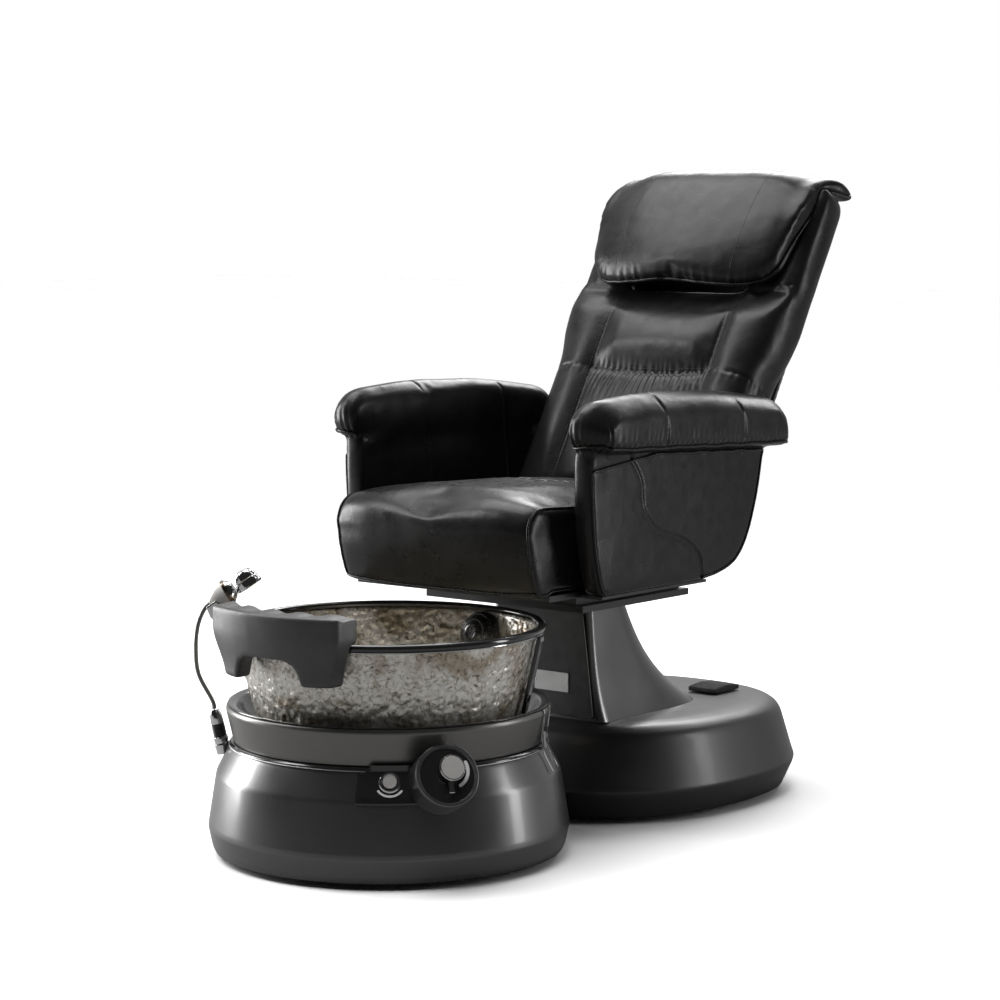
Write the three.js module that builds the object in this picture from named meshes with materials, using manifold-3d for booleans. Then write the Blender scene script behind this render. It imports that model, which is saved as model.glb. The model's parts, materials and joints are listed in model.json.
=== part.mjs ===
// Pedicure spa chair: a round jetted footbath with a reclining armchair on a flared pedestal behind it.
// Lengths are in millimetres. X runs across the seat, the sitter faces -Y and Z is up.
// The parts are placed about the footbath's axis; the last step moves the whole chair so that the
// middle of its footprint is the origin.
import * as THREE from 'three';
import { mergeVertices } from 'three/addons/utils/BufferGeometryUtils.js';
import Module from 'manifold-3d';

const wasm = await Module();
wasm.setup();

const GAP = 0.3;
const ROUND_STEPS = 40;
const SMALL_STEPS = 20;
const DEG = Math.PI / 180;

// Footbath.
const FOOT_H = 10;
const PAN_TOP_Z = 22;
const BATH_PAN_R = 324;
const BATH_FOOT_R = 250;
const SHELL_R = 344;
const SHELL_CREASE_Z = 58;
const SHOULDER_R = 326;
const SHOULDER_Z = 166;
const SHELL_WALL = 7;
const NECK_R = 302;
const NECK_Z = 211;
const TRIM_H = 7.6;
const COLLAR_R = 309;
const COLLAR_LOW_Z = 219;
const COLLAR_TOP_Z = 290;
const COLLAR_INNER_R = 285;
const GROOVE_R = [262, 281];
const GROOVE_Z = 266;
const RIM_R = 300;
const RIM_Z = 441.5;
const BOWL_R = 293;
const BOWL_TOP_Z = 426.7;
const BOWL_WALL = 8;
const BOWL_FLOOR_Z = 204;
const DRAIN_R = 32;

// Controls on the footbath's shoulder, by their bearing about the footbath's axis.
const BUTTON_BEARING = -48.5 * DEG;
const VALVE_BEARING = -32 * DEG;
const SPRAYER_BEARING = -141 * DEG;
const STOP_VALVE_BEARING = -148 * DEG;
const BRACKET_BEARING = 22 * DEG;
const JET_BEARING = 88 * DEG;
const BUTTON_SLOPE = 28 * DEG;
const VALVE_SLOPE = 25 * DEG;
const VALVE_POD_R = 59;
const VALVE_POD_TOP_Z = 262;
const KNOB_OFFSET = [6, 10];

// Footrest.
const FOOTREST_HALF = 156;
const FOOTREST_FRONT_Y = -342;
const FOOTREST_BACK_Y = -284;
const FOOTREST_TOP_Z = 497;
const FOOTREST_LOW_Z = 366;
const FOOTREST_APRON_Y = -302;
const FOOTREST_SWEEP = 8;
const ARCH_HALF = [94, 66];
const ARCH_Z = [340, 412];

// Chair base and pedestal.
const BASE_HALF = 325;
const BASE_LENGTH_HALF = 380;
const BASE_Y = 744;
const BASE_POWER = 2.4;
const DECK_Z = 196;
const BASE_PAN_R = 292;
const PEDESTAL_FRONT_Y = 470;
const PEDESTAL_TOP_Z = 435.7;
const PEDESTAL_HALF = 122;
const PEDESTAL_DEPTH = 140;
const FRONT_PANEL_HALF = [136, 107];
const FRONT_PANEL_Z = [203, 428];
const FRONT_PANEL_T = 7;
const PLATE_HALF = 200;
const PLATE_Y = [345, 700];
const PLATE_Z = [436, 449];
const RAIL_X = [150, 180];
const RAIL_TOP_Z = 463.5;
const PEDAL_Y = [885, 975];
const PEDAL_X = 70;
const PEDAL_WIDTH = 70;

// Seat, arms and back.
const PAN_Z = [478, 489.7];
const SEAT_HALF = 248;
const SEAT_BACK_Y = 652;
const CUSHION_LOW_Z = PAN_Z[1] + 2 * GAP;
const ARM_LOW_Z = 484;
const ARM_INNER_X = 266;
const ARM_PANEL_X = 312;
const ARM_PAD_X = 352;
const BACK_FOOT = [700, 600];
const RECLINE = 31 * DEG;
const HINGE = { y: 30, z: -45, r: 6 };
const BACK_FRONT_Y = -34;
const BACK_REAR_Y = 96;
const BACK_SEAM_X = 150;
const LUMBAR_Z = 312;
const PILLOW_LOW_Z = 520;
const BOLSTER_X = 257;
const BOLSTER_TOP_Z = 776;
const BACK_SHELL_HALF = 240;
const BACK_SHELL_Z = [-20, 740];
const BACK_SHELL_T = 9;
const LUG_X = 200;
const PLATE_T = 6;

// ---------------------------------------------------------------------------------------------
// Solid builders

// Turns a profile of [radius, height] pairs about Z.
function lathe(profile, steps = ROUND_STEPS) {
  const points = profile.map(([r, z]) => new THREE.Vector2(r, z));
  return new THREE.LatheGeometry(points, steps).rotateX(Math.PI / 2);
}

// Turns a closed outline about Z, which leaves a ring.
function ring(outline, steps = ROUND_STEPS) {
  return lathe([...outline, outline[0]], steps);
}

function disc(radius, z0, z1, steps = SMALL_STEPS) {
  return lathe([[0, z0], [radius, z0], [radius, z1], [0, z1]], steps);
}

function box([x0, x1], [y0, y1], [z0, z1]) {
  return new THREE.BoxGeometry(x1 - x0, y1 - y0, z1 - z0)
    .translate((x0 + x1) / 2, (y0 + y1) / 2, (z0 + z1) / 2);
}

// A closed outline with rounded corners; a corner's own radius may follow its two coordinates.
function outline(corners, radius) {
  const shape = new THREE.Shape();
  const count = corners.length;
  corners.forEach(([x, y, own], i) => {
    const corner = new THREE.Vector2(x, y);
    const before = new THREE.Vector2(...corners[(i + count - 1) % count].slice(0, 2));
    const after = new THREE.Vector2(...corners[(i + 1) % count].slice(0, 2));
    const toBefore = corner.distanceTo(before);
    const toAfter = corner.distanceTo(after);
    const reach = Math.min(own ?? radius, toBefore / 2, toAfter / 2);
    const start = corner.clone().lerp(before, reach / toBefore);
    const end = corner.clone().lerp(after, reach / toAfter);
    if (i === 0) {
      shape.moveTo(start.x, start.y);
    } else {
      shape.lineTo(start.x, start.y);
    }
    shape.quadraticCurveTo(corner.x, corner.y, end.x, end.y);
  });
  shape.closePath();
  return shape;
}

// Extrudes an outline along Z from 0 to length, with both ends eased over by the bevel.
function extrude(shape, length, { bevel = 0, steps = 1, curveSegments = 3 } = {}) {
  return new THREE.ExtrudeGeometry(shape, {
    depth: length - 2 * bevel,
    steps,
    curveSegments,
    bevelEnabled: bevel > 0,
    bevelThickness: bevel,
    bevelSize: bevel,
    bevelOffset: -bevel,
    bevelSegments: 2,
  }).translate(0, 0, bevel);
}

// Extrudes an outline along Z with a ring of points at each of the given levels.
function stacked(shape, levels, curveSegments = 3) {
  const count = levels.length - 1;
  const column = extrude(shape, count, { steps: count, curveSegments });
  return reshape(column, (p) => {
    p.z = levels[Math.round(p.z)];
  });
}

// Stands a solid drawn as (Y, Z) and extruded along its own Z so that it runs along X from x0.
function alongX(geometry, x0) {
  const basis = new THREE.Matrix4().makeBasis(
    new THREE.Vector3(0, 1, 0),
    new THREE.Vector3(0, 0, 1),
    new THREE.Vector3(1, 0, 0),
  );
  return geometry.applyMatrix4(basis).translate(x0, 0, 0);
}

// Stands a solid drawn as (X, Z) and extruded along its own Z so that it runs towards -Y from y0.
function alongY(geometry, y0) {
  const basis = new THREE.Matrix4().makeBasis(
    new THREE.Vector3(1, 0, 0),
    new THREE.Vector3(0, 0, 1),
    new THREE.Vector3(0, -1, 0),
  );
  return geometry.applyMatrix4(basis).translate(0, y0, 0);
}

// Moves every point of a solid by a rule.
function reshape(geometry, move) {
  const position = geometry.attributes.position;
  const point = new THREE.Vector3();
  for (let i = 0; i < position.count; i += 1) {
    point.fromBufferAttribute(position, i);
    move(point);
    position.setXYZ(i, point.x, point.y, point.z);
  }
  return geometry;
}

// Mirrors a solid in the plane X = 0, keeping its faces outward.
function mirrored(geometry) {
  const copy = (geometry.index ? geometry.toNonIndexed() : geometry.clone()).scale(-1, 1, 1);
  const array = copy.attributes.position.array;
  for (let i = 0; i < array.length; i += 9) {
    for (let k = 0; k < 3; k += 1) {
      [array[i + 3 + k], array[i + 6 + k]] = [array[i + 6 + k], array[i + 3 + k]];
    }
  }
  copy.deleteAttribute('normal');
  copy.computeVertexNormals();
  return copy;
}

function toManifold(geometry) {
  const bare = geometry.clone();
  bare.deleteAttribute('normal');
  bare.deleteAttribute('uv');
  const merged = mergeVertices(bare, 1e-4);
  const triangles = [];
  const index = merged.index.array;
  for (let i = 0; i < index.length; i += 3) {
    const [a, b, c] = [index[i], index[i + 1], index[i + 2]];
    if (a !== b && b !== c && c !== a) {
      triangles.push(a, b, c);
    }
  }
  return new wasm.Manifold(new wasm.Mesh({
    numProp: 3,
    vertProperties: new Float32Array(merged.attributes.position.array),
    triVerts: new Uint32Array(triangles),
  }));
}

function fromManifold(solid) {
  const mesh = solid.getMesh();
  const geometry = new THREE.BufferGeometry();
  geometry.setAttribute('position', new THREE.Float32BufferAttribute(mesh.vertProperties, 3));
  geometry.setIndex(new THREE.BufferAttribute(mesh.triVerts, 1));
  const faceted = geometry.toNonIndexed();
  faceted.computeVertexNormals();
  return faceted;
}

function carve(geometry, ...tools) {
  const solid = tools.reduce((rest, tool) => rest.subtract(toManifold(tool)), toManifold(geometry));
  return fromManifold(solid);
}

function join(first, ...others) {
  const solid = others.reduce((sum, other) => sum.add(toManifold(other)), toManifold(first));
  return fromManifold(solid);
}

// Aims a solid built along its own Z at a slope above the horizontal on a bearing about the
// footbath's axis, with its own origin at the given radius and height. Its own Y ends up pointing
// up the slope and its own X along the rim.
function aimed(geometry, bearing, radius, z, slope, inward = false) {
  const turn = inward ? bearing + Math.PI : bearing;
  const out = new THREE.Vector3(Math.cos(turn), Math.sin(turn), 0);
  const up = new THREE.Vector3(0, 0, 1);
  const axis = out.clone().multiplyScalar(Math.cos(slope)).addScaledVector(up, Math.sin(slope));
  const rise = up.clone().multiplyScalar(Math.cos(slope)).addScaledVector(out, -Math.sin(slope));
  const side = new THREE.Vector3().crossVectors(rise, axis);
  const matrix = new THREE.Matrix4().makeBasis(side, rise, axis);
  matrix.setPosition(radius * Math.cos(bearing), radius * Math.sin(bearing), z);
  return geometry.applyMatrix4(matrix);
}

// Stands a solid drawn as (radius, Z) upright on a bearing about the footbath's axis, centred on it.
function onBearing(shape, width, bearing) {
  const slab = extrude(shape, width).translate(0, 0, -width / 2).rotateX(Math.PI / 2);
  return slab.rotateZ(bearing);
}

const chair = new THREE.Group();
chair.name = 'pedicure_spa_chair';

const FINISHES = {
  leather: { color: 0x141415, roughness: 0.4, metalness: 0 },
  gunmetal: { color: 0x55565a, roughness: 0.3, metalness: 0.6 },
  satin_grey: { color: 0x7d7c7a, roughness: 0.4, metalness: 0.5 },
  black_plastic: { color: 0x161617, roughness: 0.5, metalness: 0 },
  grey_plastic: { color: 0x8b8b89, roughness: 0.5, metalness: 0 },
  chrome: { color: 0xdfe2e4, roughness: 0.12, metalness: 1 },
  hammered_glass: { color: 0xb5b0a0, roughness: 0.2, metalness: 0.3 },
  steel: { color: 0x3a3b3d, roughness: 0.5, metalness: 0.8 },
  rubber: { color: 0x1b1b1c, roughness: 0.8, metalness: 0 },
  pad: { color: 0x3c3c3e, roughness: 0.6, metalness: 0 },
};

function add(name, geometry, finish) {
  const mesh = new THREE.Mesh(geometry, new THREE.MeshStandardMaterial(FINISHES[finish]));
  mesh.name = name;
  chair.add(mesh);
}

// ---------------------------------------------------------------------------------------------
// Footbath

// The outside of the footbath from its skirt to the collar's lip, as [radius, height].
const SHELL_PROFILE = [
  [332, 12],
  [337, 22],
  [SHELL_R, SHELL_CREASE_Z - 2],
  [SHELL_R - 1, SHELL_CREASE_Z + 8],
  [SHOULDER_R + 2, SHOULDER_Z - 6],
  [SHOULDER_R - 3, SHOULDER_Z + 4],
  [NECK_R + 2, NECK_Z - 5],
  [NECK_R - 1, NECK_Z],
];
const TRIM_PROFILE = [
  [NECK_R + 1, NECK_Z + GAP],
  [NECK_R + 1, NECK_Z + 4],
  [NECK_R - 3, NECK_Z + TRIM_H],
];
const COLLAR_PROFILE = [
  [295, COLLAR_LOW_Z],
  [COLLAR_R, COLLAR_TOP_Z - 9],
  [COLLAR_R - 2, COLLAR_TOP_Z - 3],
  [COLLAR_R - 8, COLLAR_TOP_Z],
];

// A solid that fills the footbath's outside with a small margin, for seating fittings on it.
function bathEnvelope() {
  const margin = 0.5;
  const side = [...SHELL_PROFILE, ...TRIM_PROFILE, ...COLLAR_PROFILE].map(([r, z]) => [r + margin, z]);
  return lathe([[0, side[0][1]], ...side, [0, side[side.length - 1][1]]], 2 * ROUND_STEPS);
}

function addFeet(prefix, places) {
  places.forEach(([x, y], i) => {
    const top = FOOT_H - GAP;
    const foot = lathe([[0, 0], [17, 0], [18, 3], [11, 6], [11, top], [0, top]], SMALL_STEPS);
    add(`${prefix}_${i + 1}`, foot.translate(x, y, 0), 'rubber');
  });
}

function addBathBody() {
  const inside = SHELL_PROFILE.map(([r, z]) => [r - SHELL_WALL, z]).reverse();
  add('bath_pan', disc(BATH_PAN_R, FOOT_H, PAN_TOP_Z, ROUND_STEPS), 'black_plastic');
  add('bath_shell', ring([...SHELL_PROFILE, ...inside]), 'gunmetal');
  const trimInside = [
    [COLLAR_INNER_R, NECK_Z + TRIM_H],
    [COLLAR_INNER_R, NECK_Z + GAP],
  ];
  add('bath_trim_ring', ring([...TRIM_PROFILE, ...trimInside]), 'black_plastic');
  const collarInside = [
    [COLLAR_INNER_R + 5, COLLAR_TOP_Z - 2],
    [COLLAR_INNER_R, COLLAR_TOP_Z - 10],
    [COLLAR_INNER_R - 2, COLLAR_TOP_Z - 28],
    [COLLAR_INNER_R, COLLAR_LOW_Z],
  ];
  add('bath_collar', ring([...COLLAR_PROFILE, ...collarInside]), 'satin_grey');
  const groove = [
    [GROOVE_R[0], GROOVE_Z],
    [GROOVE_R[1], GROOVE_Z],
    [GROOVE_R[1], GROOVE_Z + 7],
    [GROOVE_R[0], GROOVE_Z + 11],
  ];
  add('bath_groove_ring', ring(groove), 'black_plastic');
  const corners = [45, 135, 225, 315].map((degrees) => degrees * DEG);
  addFeet('bath_foot', corners.map((a) => [BATH_FOOT_R * Math.cos(a), BATH_FOOT_R * Math.sin(a)]));
}

// The tapered bowl, drawn up its outside and down its inside.
function addBowl() {
  const outside = [
    [DRAIN_R, BOWL_FLOOR_Z - BOWL_WALL],
    [150, BOWL_FLOOR_Z - BOWL_WALL],
    [222, 220],
    [250, 255],
    [261, 300],
    [283, 385],
    [BOWL_R, BOWL_TOP_Z],
  ];
  const inside = [
    [BOWL_R - BOWL_WALL, BOWL_TOP_Z],
    [275, 385],
    [253, 300],
    [242, 258],
    [217, 229],
    [148, BOWL_FLOOR_Z + 1],
    [DRAIN_R, BOWL_FLOOR_Z],
  ];
  add('bowl', ring([...outside, ...inside]), 'hammered_glass');
  const rim = [
    [RIM_R - 18, BOWL_TOP_Z + GAP],
    [RIM_R - 1, BOWL_TOP_Z + GAP],
    [RIM_R + 1, BOWL_TOP_Z + 5],
    [RIM_R, BOWL_TOP_Z + 11],
    [RIM_R - 4, RIM_Z],
    [RIM_R - 14, RIM_Z],
    [RIM_R - 18, BOWL_TOP_Z + 10],
  ];
  add('bowl_rim', ring(rim), 'black_plastic');
}

// The drain's flange lies on the bowl's floor and its tail hangs below; the stopper drops into it.
function addDrain() {
  const tailR = 24;
  const flange = [
    [13, BOWL_FLOOR_Z - 28],
    [tailR, BOWL_FLOOR_Z - 28],
    [tailR, BOWL_FLOOR_Z - 14],
    [DRAIN_R - 0.5, BOWL_FLOOR_Z - 14],
    [DRAIN_R - 0.5, BOWL_FLOOR_Z + 0.4],
    [DRAIN_R + 10, BOWL_FLOOR_Z + 0.4],
    [DRAIN_R + 10, BOWL_FLOOR_Z + 2.5],
    [DRAIN_R + 4, BOWL_FLOOR_Z + 4.5],
    [15, BOWL_FLOOR_Z + 2.5],
    [13, BOWL_FLOOR_Z - 1],
  ];
  add('drain_flange', ring(flange, SMALL_STEPS), 'chrome');
  const stopper = [
    [0, BOWL_FLOOR_Z - 19],
    [9, BOWL_FLOOR_Z - 19],
    [9, BOWL_FLOOR_Z + 5],
    [27, BOWL_FLOOR_Z + 6],
    [28, BOWL_FLOOR_Z + 8],
    [20, BOWL_FLOOR_Z + 12],
    [0, BOWL_FLOOR_Z + 13],
  ];
  add('drain_stopper', lathe(stopper, SMALL_STEPS), 'chrome');
}

// The water jet's dome on the inside of the bowl, and the strut that carries the rim.
function addBowlFittings() {
  const dome = lathe([[0, 0], [44, 0], [46, 4], [44, 14], [34, 28], [18, 36], [0, 38]], 24);
  add('jet_housing', aimed(dome, JET_BEARING, 269, 385, 14 * DEG, true), 'black_plastic');
  const strut = outline([[264.5, 279], [272, 279], [304, 418], [304, 426.5], [297, 426.5]], 2);
  add('bowl_bracket', onBearing(strut, 24, BRACKET_BEARING), 'black_plastic');
}

function addButton() {
  const seat = [BUTTON_BEARING, 311, 193, BUTTON_SLOPE];
  const bezel = ring([[13.5, 1.3], [21, 1.3], [21, 4], [18.5, 7], [15, 7], [13.5, 5]], 32);
  add('button_bezel', aimed(bezel, ...seat), 'chrome');
  const cap = lathe([[0, 4.7], [13.1, 4.7], [13.1, 8], [11.5, 9.2], [0, 9.6]], 32);
  add('push_button', aimed(cap, ...seat), 'grey_plastic');
}

// The pod is a barrel let into the shoulder and cut off level at its top.
function addValve() {
  const seat = [VALVE_BEARING, 362, 213, VALVE_SLOPE];
  const barrel = disc(VALVE_POD_R, -95, 0, 40);
  const pod = aimed(barrel, ...seat);
  const above = box([200, 400], [-300, 0], [VALVE_POD_TOP_Z, 330]);
  add('valve_pod', carve(pod, bathEnvelope(), above), 'gunmetal');
  const face = outline([[-36, 40], [36, 40], [50, 0], [30, -42], [-30, -42], [-50, 0]], 30);
  add('valve_plate', aimed(extrude(face, 2.5).translate(0, -1, GAP), ...seat), 'black_plastic');
  const knob = lathe([[0, 3.2], [11, 3.2], [11, 7], [24, 7], [24, 17], [22.5, 18.5], [0, 18.5]], 32);
  const lever = box([-3.5, 3.5], [-44, -12], [9, 15]);
  add('valve_handle', aimed(join(knob, lever).translate(...KNOB_OFFSET, 0), ...seat), 'chrome');
}

// The hand sprayer lies on a saddle outside the rim, pointing in over the bowl.
const SPRAYER_SEAT = [SPRAYER_BEARING, 337, 477, 33 * DEG, true];
const GRIP_PROFILE = [[0, 0], [8, 0], [9, 2], [15, 8], [21, 18], [24, 30], [24, 36], [0, 36]];

function onSprayer(geometry) {
  return aimed(geometry, ...SPRAYER_SEAT);
}

function addSprayer() {
  add('sprayer_grip', onSprayer(lathe(GRIP_PROFILE, 24)), 'grey_plastic');
  add('sprayer_band', onSprayer(disc(24.5, 36 + GAP, 42, 24)), 'black_plastic');
  add('sprayer_neck', onSprayer(lathe([[0, 42.3], [22, 42.3], [13, 53], [0, 53]], 24)), 'chrome');
  const head = lathe([[0, -20], [14, -18], [22, -8], [25, 4], [26.5, 10], [26.5, 14], [0, 15]], 28);
  add('sprayer_head', onSprayer(head.rotateX(Math.PI / 2).translate(0, 0, 80)), 'chrome');
}

// The saddle stands on the bracket outside the rim, hollowed to the grip with a little clearance.
function addSprayerHolder() {
  const clearance = 1;
  const beyond = [-20, 60];
  const sides = GRIP_PROFILE.slice(1, -1).map(([r, z]) => [r + clearance, z]);
  sides[0][1] = beyond[0];
  sides[sides.length - 1][1] = beyond[1];
  const hollow = lathe([[0, beyond[0]], ...sides, [0, beyond[1]]], 24);
  const saddle = outline([
    [301.8, 405],
    [308.5, 405],
    [311, 438],
    [336, 450],
    [344, 471],
    [314, 492],
    [303, 480],
    [301.8, 452],
  ], 3);
  const block = onBearing(saddle, 40, SPRAYER_BEARING);
  add('sprayer_holder', carve(block, onSprayer(hollow)), 'chrome');
}

const GUIDE_SEAT = [SPRAYER_BEARING, 314, 188, 78 * DEG];

function addHoseFittings() {
  const guide = ring([[5.2, 0], [14, 0], [14, 18], [12, 60], [11, 78], [8, 86], [5.2, 88]], 24);
  add('hose_guide', carve(aimed(guide, ...GUIDE_SEAT), bathEnvelope()), 'chrome');
  const body = lathe([[0, -12], [7, -12], [7, 14], [0, 14]], SMALL_STEPS);
  const seat = [STOP_VALVE_BEARING, 318, 186, 35 * DEG];
  add('stop_valve_body', carve(aimed(body, ...seat), bathEnvelope()), 'chrome');
  add('stop_valve_lever', aimed(box([-8, 8], [-7, 16], [14 + GAP, 20]), ...seat), 'grey_plastic');
}

// The sprayer's hose hangs outside the footbath, from the grip down into its guide.
function addHose() {
  const out = (r, z) => new THREE.Vector3(r * Math.cos(SPRAYER_BEARING), r * Math.sin(SPRAYER_BEARING), z);
  const [, guideR, guideZ, guideSlope] = GUIDE_SEAT;
  const alongGuide = (t) => out(guideR + t * Math.cos(guideSlope), guideZ + t * Math.sin(guideSlope));
  const path = new THREE.CatmullRomCurve3([
    out(338.4, 475.6),
    out(350, 463),
    out(362, 432),
    out(366, 388),
    out(361, 340),
    alongGuide(104),
    alongGuide(84),
    alongGuide(64),
    alongGuide(44),
  ]);
  const section = new THREE.Shape();
  section.absarc(0, 0, 4.2, 0, 2 * Math.PI, false);
  const tube = new THREE.ExtrudeGeometry(section, { steps: 36, curveSegments: 5, extrudePath: path });
  add('sprayer_hose', tube, 'black_plastic');
}

// A padded shelf over the front of the rim, with an apron that hangs in front of the bowl.
function addFootrest() {
  const side = outline([
    [FOOTREST_FRONT_Y, FOOTREST_LOW_Z],
    [FOOTREST_FRONT_Y, FOOTREST_TOP_Z - 3],
    [FOOTREST_BACK_Y, FOOTREST_TOP_Z],
    [FOOTREST_BACK_Y, RIM_Z + GAP],
    [FOOTREST_APRON_Y, RIM_Z + GAP],
    [FOOTREST_APRON_Y, FOOTREST_LOW_Z],
  ], 5);
  const padded = extrude(side, 2 * FOOTREST_HALF, { bevel: 3, steps: 8, curveSegments: 2 });
  const slab = alongX(padded, -FOOTREST_HALF);
  const arch = outline([
    [-ARCH_HALF[0], ARCH_Z[0]],
    [ARCH_HALF[0], ARCH_Z[0]],
    [ARCH_HALF[1], ARCH_Z[1]],
    [-ARCH_HALF[1], ARCH_Z[1]],
  ], 30);
  const cut = alongY(extrude(arch, 120, { curveSegments: 5 }), -270);
  const pad = reshape(carve(slab, cut), (p) => {
    p.y += FOOTREST_SWEEP * (p.x / FOOTREST_HALF) ** 2;
  });
  add('footrest_pad', pad, 'pad');
}

// ---------------------------------------------------------------------------------------------
// Chair base and pedestal

// Turns a round solid of radius BASE_HALF into the base's long, squared-off plan.
function basePlan(geometry) {
  return reshape(geometry, (p) => {
    const radius = Math.hypot(p.x, p.y);
    const angle = Math.atan2(p.y, p.x);
    const squared = (v) => Math.sign(v) * Math.abs(v) ** (2 / BASE_POWER);
    p.x = radius * squared(Math.cos(angle));
    p.y = radius * squared(Math.sin(angle)) * BASE_LENGTH_HALF / BASE_HALF + BASE_Y;
  });
}

function addChairBase() {
  const shell = [
    [0, DECK_Z],
    [250, DECK_Z],
    [276, DECK_Z - 5],
    [292, DECK_Z - 18],
    [299, DECK_Z - 32],
    [321, 80],
    [BASE_HALF, 68],
    [322, 58],
    [303, 12],
    [296, 12],
    [315, 62],
    [292, 160],
    [270, DECK_Z - 10],
    [0, DECK_Z - 10],
  ].reverse();
  add('base_shell', basePlan(lathe(shell)), 'gunmetal');
  add('base_pan', basePlan(disc(BASE_PAN_R, FOOT_H, PAN_TOP_Z, ROUND_STEPS)), 'black_plastic');
  addFeet('base_foot', [[-190, 560], [190, 560], [190, 960], [-190, 960]]);
  add('link_plate', box([-110, 110], [210, 520], [3, FOOT_H - GAP]), 'steel');
}

// Half-width and depth of the pedestal grow towards the deck: 0 at the top, 1 at the bottom.
function pedestalFlare(p) {
  const t = THREE.MathUtils.clamp((PEDESTAL_TOP_Z - p.z) / (PEDESTAL_TOP_Z - DECK_Z), 0, 1);
  p.x *= 1 + 0.12 * t + 0.16 * t ** 4;
  p.y = PEDESTAL_FRONT_Y + (p.y - PEDESTAL_FRONT_Y) * (1 + 0.9 * t + 0.75 * t ** 3);
}

function addPedestal() {
  const plan = outline([
    [-PEDESTAL_HALF, PEDESTAL_FRONT_Y, 8],
    [PEDESTAL_HALF, PEDESTAL_FRONT_Y, 8],
    [PEDESTAL_HALF, PEDESTAL_FRONT_Y + PEDESTAL_DEPTH, 55],
    [-PEDESTAL_HALF, PEDESTAL_FRONT_Y + PEDESTAL_DEPTH, 55],
  ], 8);
  const height = PEDESTAL_TOP_Z - DECK_Z - GAP;
  const column = extrude(plan, height, { steps: 8, curveSegments: 5 }).translate(0, 0, DECK_Z + GAP);
  add('pedestal', reshape(column, pedestalFlare), 'gunmetal');
  const panel = outline([
    [-FRONT_PANEL_HALF[0], FRONT_PANEL_Z[0]],
    [FRONT_PANEL_HALF[0], FRONT_PANEL_Z[0]],
    [FRONT_PANEL_HALF[1], FRONT_PANEL_Z[1]],
    [-FRONT_PANEL_HALF[1], FRONT_PANEL_Z[1]],
  ], 6);
  const panelY = PEDESTAL_FRONT_Y - GAP;
  add('pedestal_panel', alongY(extrude(panel, FRONT_PANEL_T), panelY), 'black_plastic');
  const plateY = panelY - FRONT_PANEL_T - GAP;
  add('rating_plate', box([-11, 75], [plateY - 1.5, plateY], [251, 290]), 'grey_plastic');
}

// A rocker pedal on the rear of the deck, higher in its middle.
function addFootPedal() {
  const middleY = (PEDAL_Y[0] + PEDAL_Y[1]) / 2;
  const side = outline([
    [PEDAL_Y[0], DECK_Z + 2],
    [PEDAL_Y[1], DECK_Z + 2],
    [PEDAL_Y[1], DECK_Z + 12],
    [middleY, DECK_Z + 16],
    [PEDAL_Y[0], DECK_Z + 12],
  ], 3);
  add('foot_pedal', alongX(extrude(side, PEDAL_WIDTH), PEDAL_X), 'rubber');
}

// The fixed plate and rails on the pedestal, and the pan that runs on them under the seat.
function addSlide() {
  add('mount_plate', box([-PLATE_HALF, PLATE_HALF], PLATE_Y, PLATE_Z), 'steel');
  const railY = [PLATE_Y[0] + 5, PLATE_Y[1] - 5];
  const rail = box(RAIL_X, railY, [PLATE_Z[1] + GAP, RAIL_TOP_Z]);
  add('slide_rail_left', rail, 'steel');
  add('slide_rail_right', mirrored(rail), 'steel');
  const pan = box([-243, 243], [185, 700], PAN_Z);
  const runner = box([RAIL_X[0] - 4, RAIL_X[1] + 4], railY, [RAIL_TOP_Z + GAP, PAN_Z[0] + 2]);
  const armLedge = box([-300, 300], [275, 620], [PAN_Z[0], ARM_LOW_Z - GAP]);
  add('seat_pan', join(pan, armLedge, runner, mirrored(runner)), 'steel');
}

// ---------------------------------------------------------------------------------------------
// Seat and arms

function addSeat() {
  const side = outline([
    [140, ARM_LOW_Z, 30],
    [112, 560, 50],
    [106, 640, 40],
    [140, 676, 40],
    [300, 668, 100],
    [SEAT_BACK_Y, 655, 30],
    [SEAT_BACK_Y, CUSHION_LOW_Z, 24],
    [184, CUSHION_LOW_Z, 4],
    [178, ARM_LOW_Z, 4],
  ], 30);
  add('seat_cushion', alongX(extrude(side, 2 * SEAT_HALF), -SEAT_HALF), 'leather');
}

function addArms() {
  const panelShape = outline([
    [220, 762.5, 10],
    [221, 690, 60],
    [232, 562, 60],
    [258, ARM_LOW_Z, 14],
    [632, ARM_LOW_Z, 40],
    [712, 507, 40],
    [749, 550, 50],
    [784, 629, 60],
    [808, 739, 10],
    [500, 752.5, 60],
  ], 10);
  const slab = extrude(panelShape, ARM_PANEL_X - ARM_INNER_X, { bevel: 6, curveSegments: 2 });
  const panel = alongX(slab, ARM_INNER_X);
  add('arm_panel_left', panel, 'leather');
  add('arm_panel_right', mirrored(panel), 'leather');

  const padShape = outline([
    [203, 764, 40],
    [196, 858, 52],
    [400, 870, 80],
    [640, 864, 80],
    [856, 834, 60],
    [874, 737, 40],
    [500, 754, 60],
  ], 30);
  const roll = extrude(padShape, ARM_PAD_X - ARM_INNER_X, { bevel: 16, curveSegments: 5 });
  const pad = alongX(roll, ARM_INNER_X);
  add('arm_pad_left', pad, 'leather');
  add('arm_pad_right', mirrored(pad), 'leather');
}

// ---------------------------------------------------------------------------------------------
// Back. It is built upright about its own foot, with its front towards -Y, and then leaned back.

function leaned(geometry) {
  return geometry.rotateX(-RECLINE).translate(0, ...BACK_FOOT);
}

// Half-width of the whole back at a height above its foot.
function backHalf(z) {
  const wide = THREE.MathUtils.smoothstep(z, 320, 430);
  return BOLSTER_X + 24 * wide;
}

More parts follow.
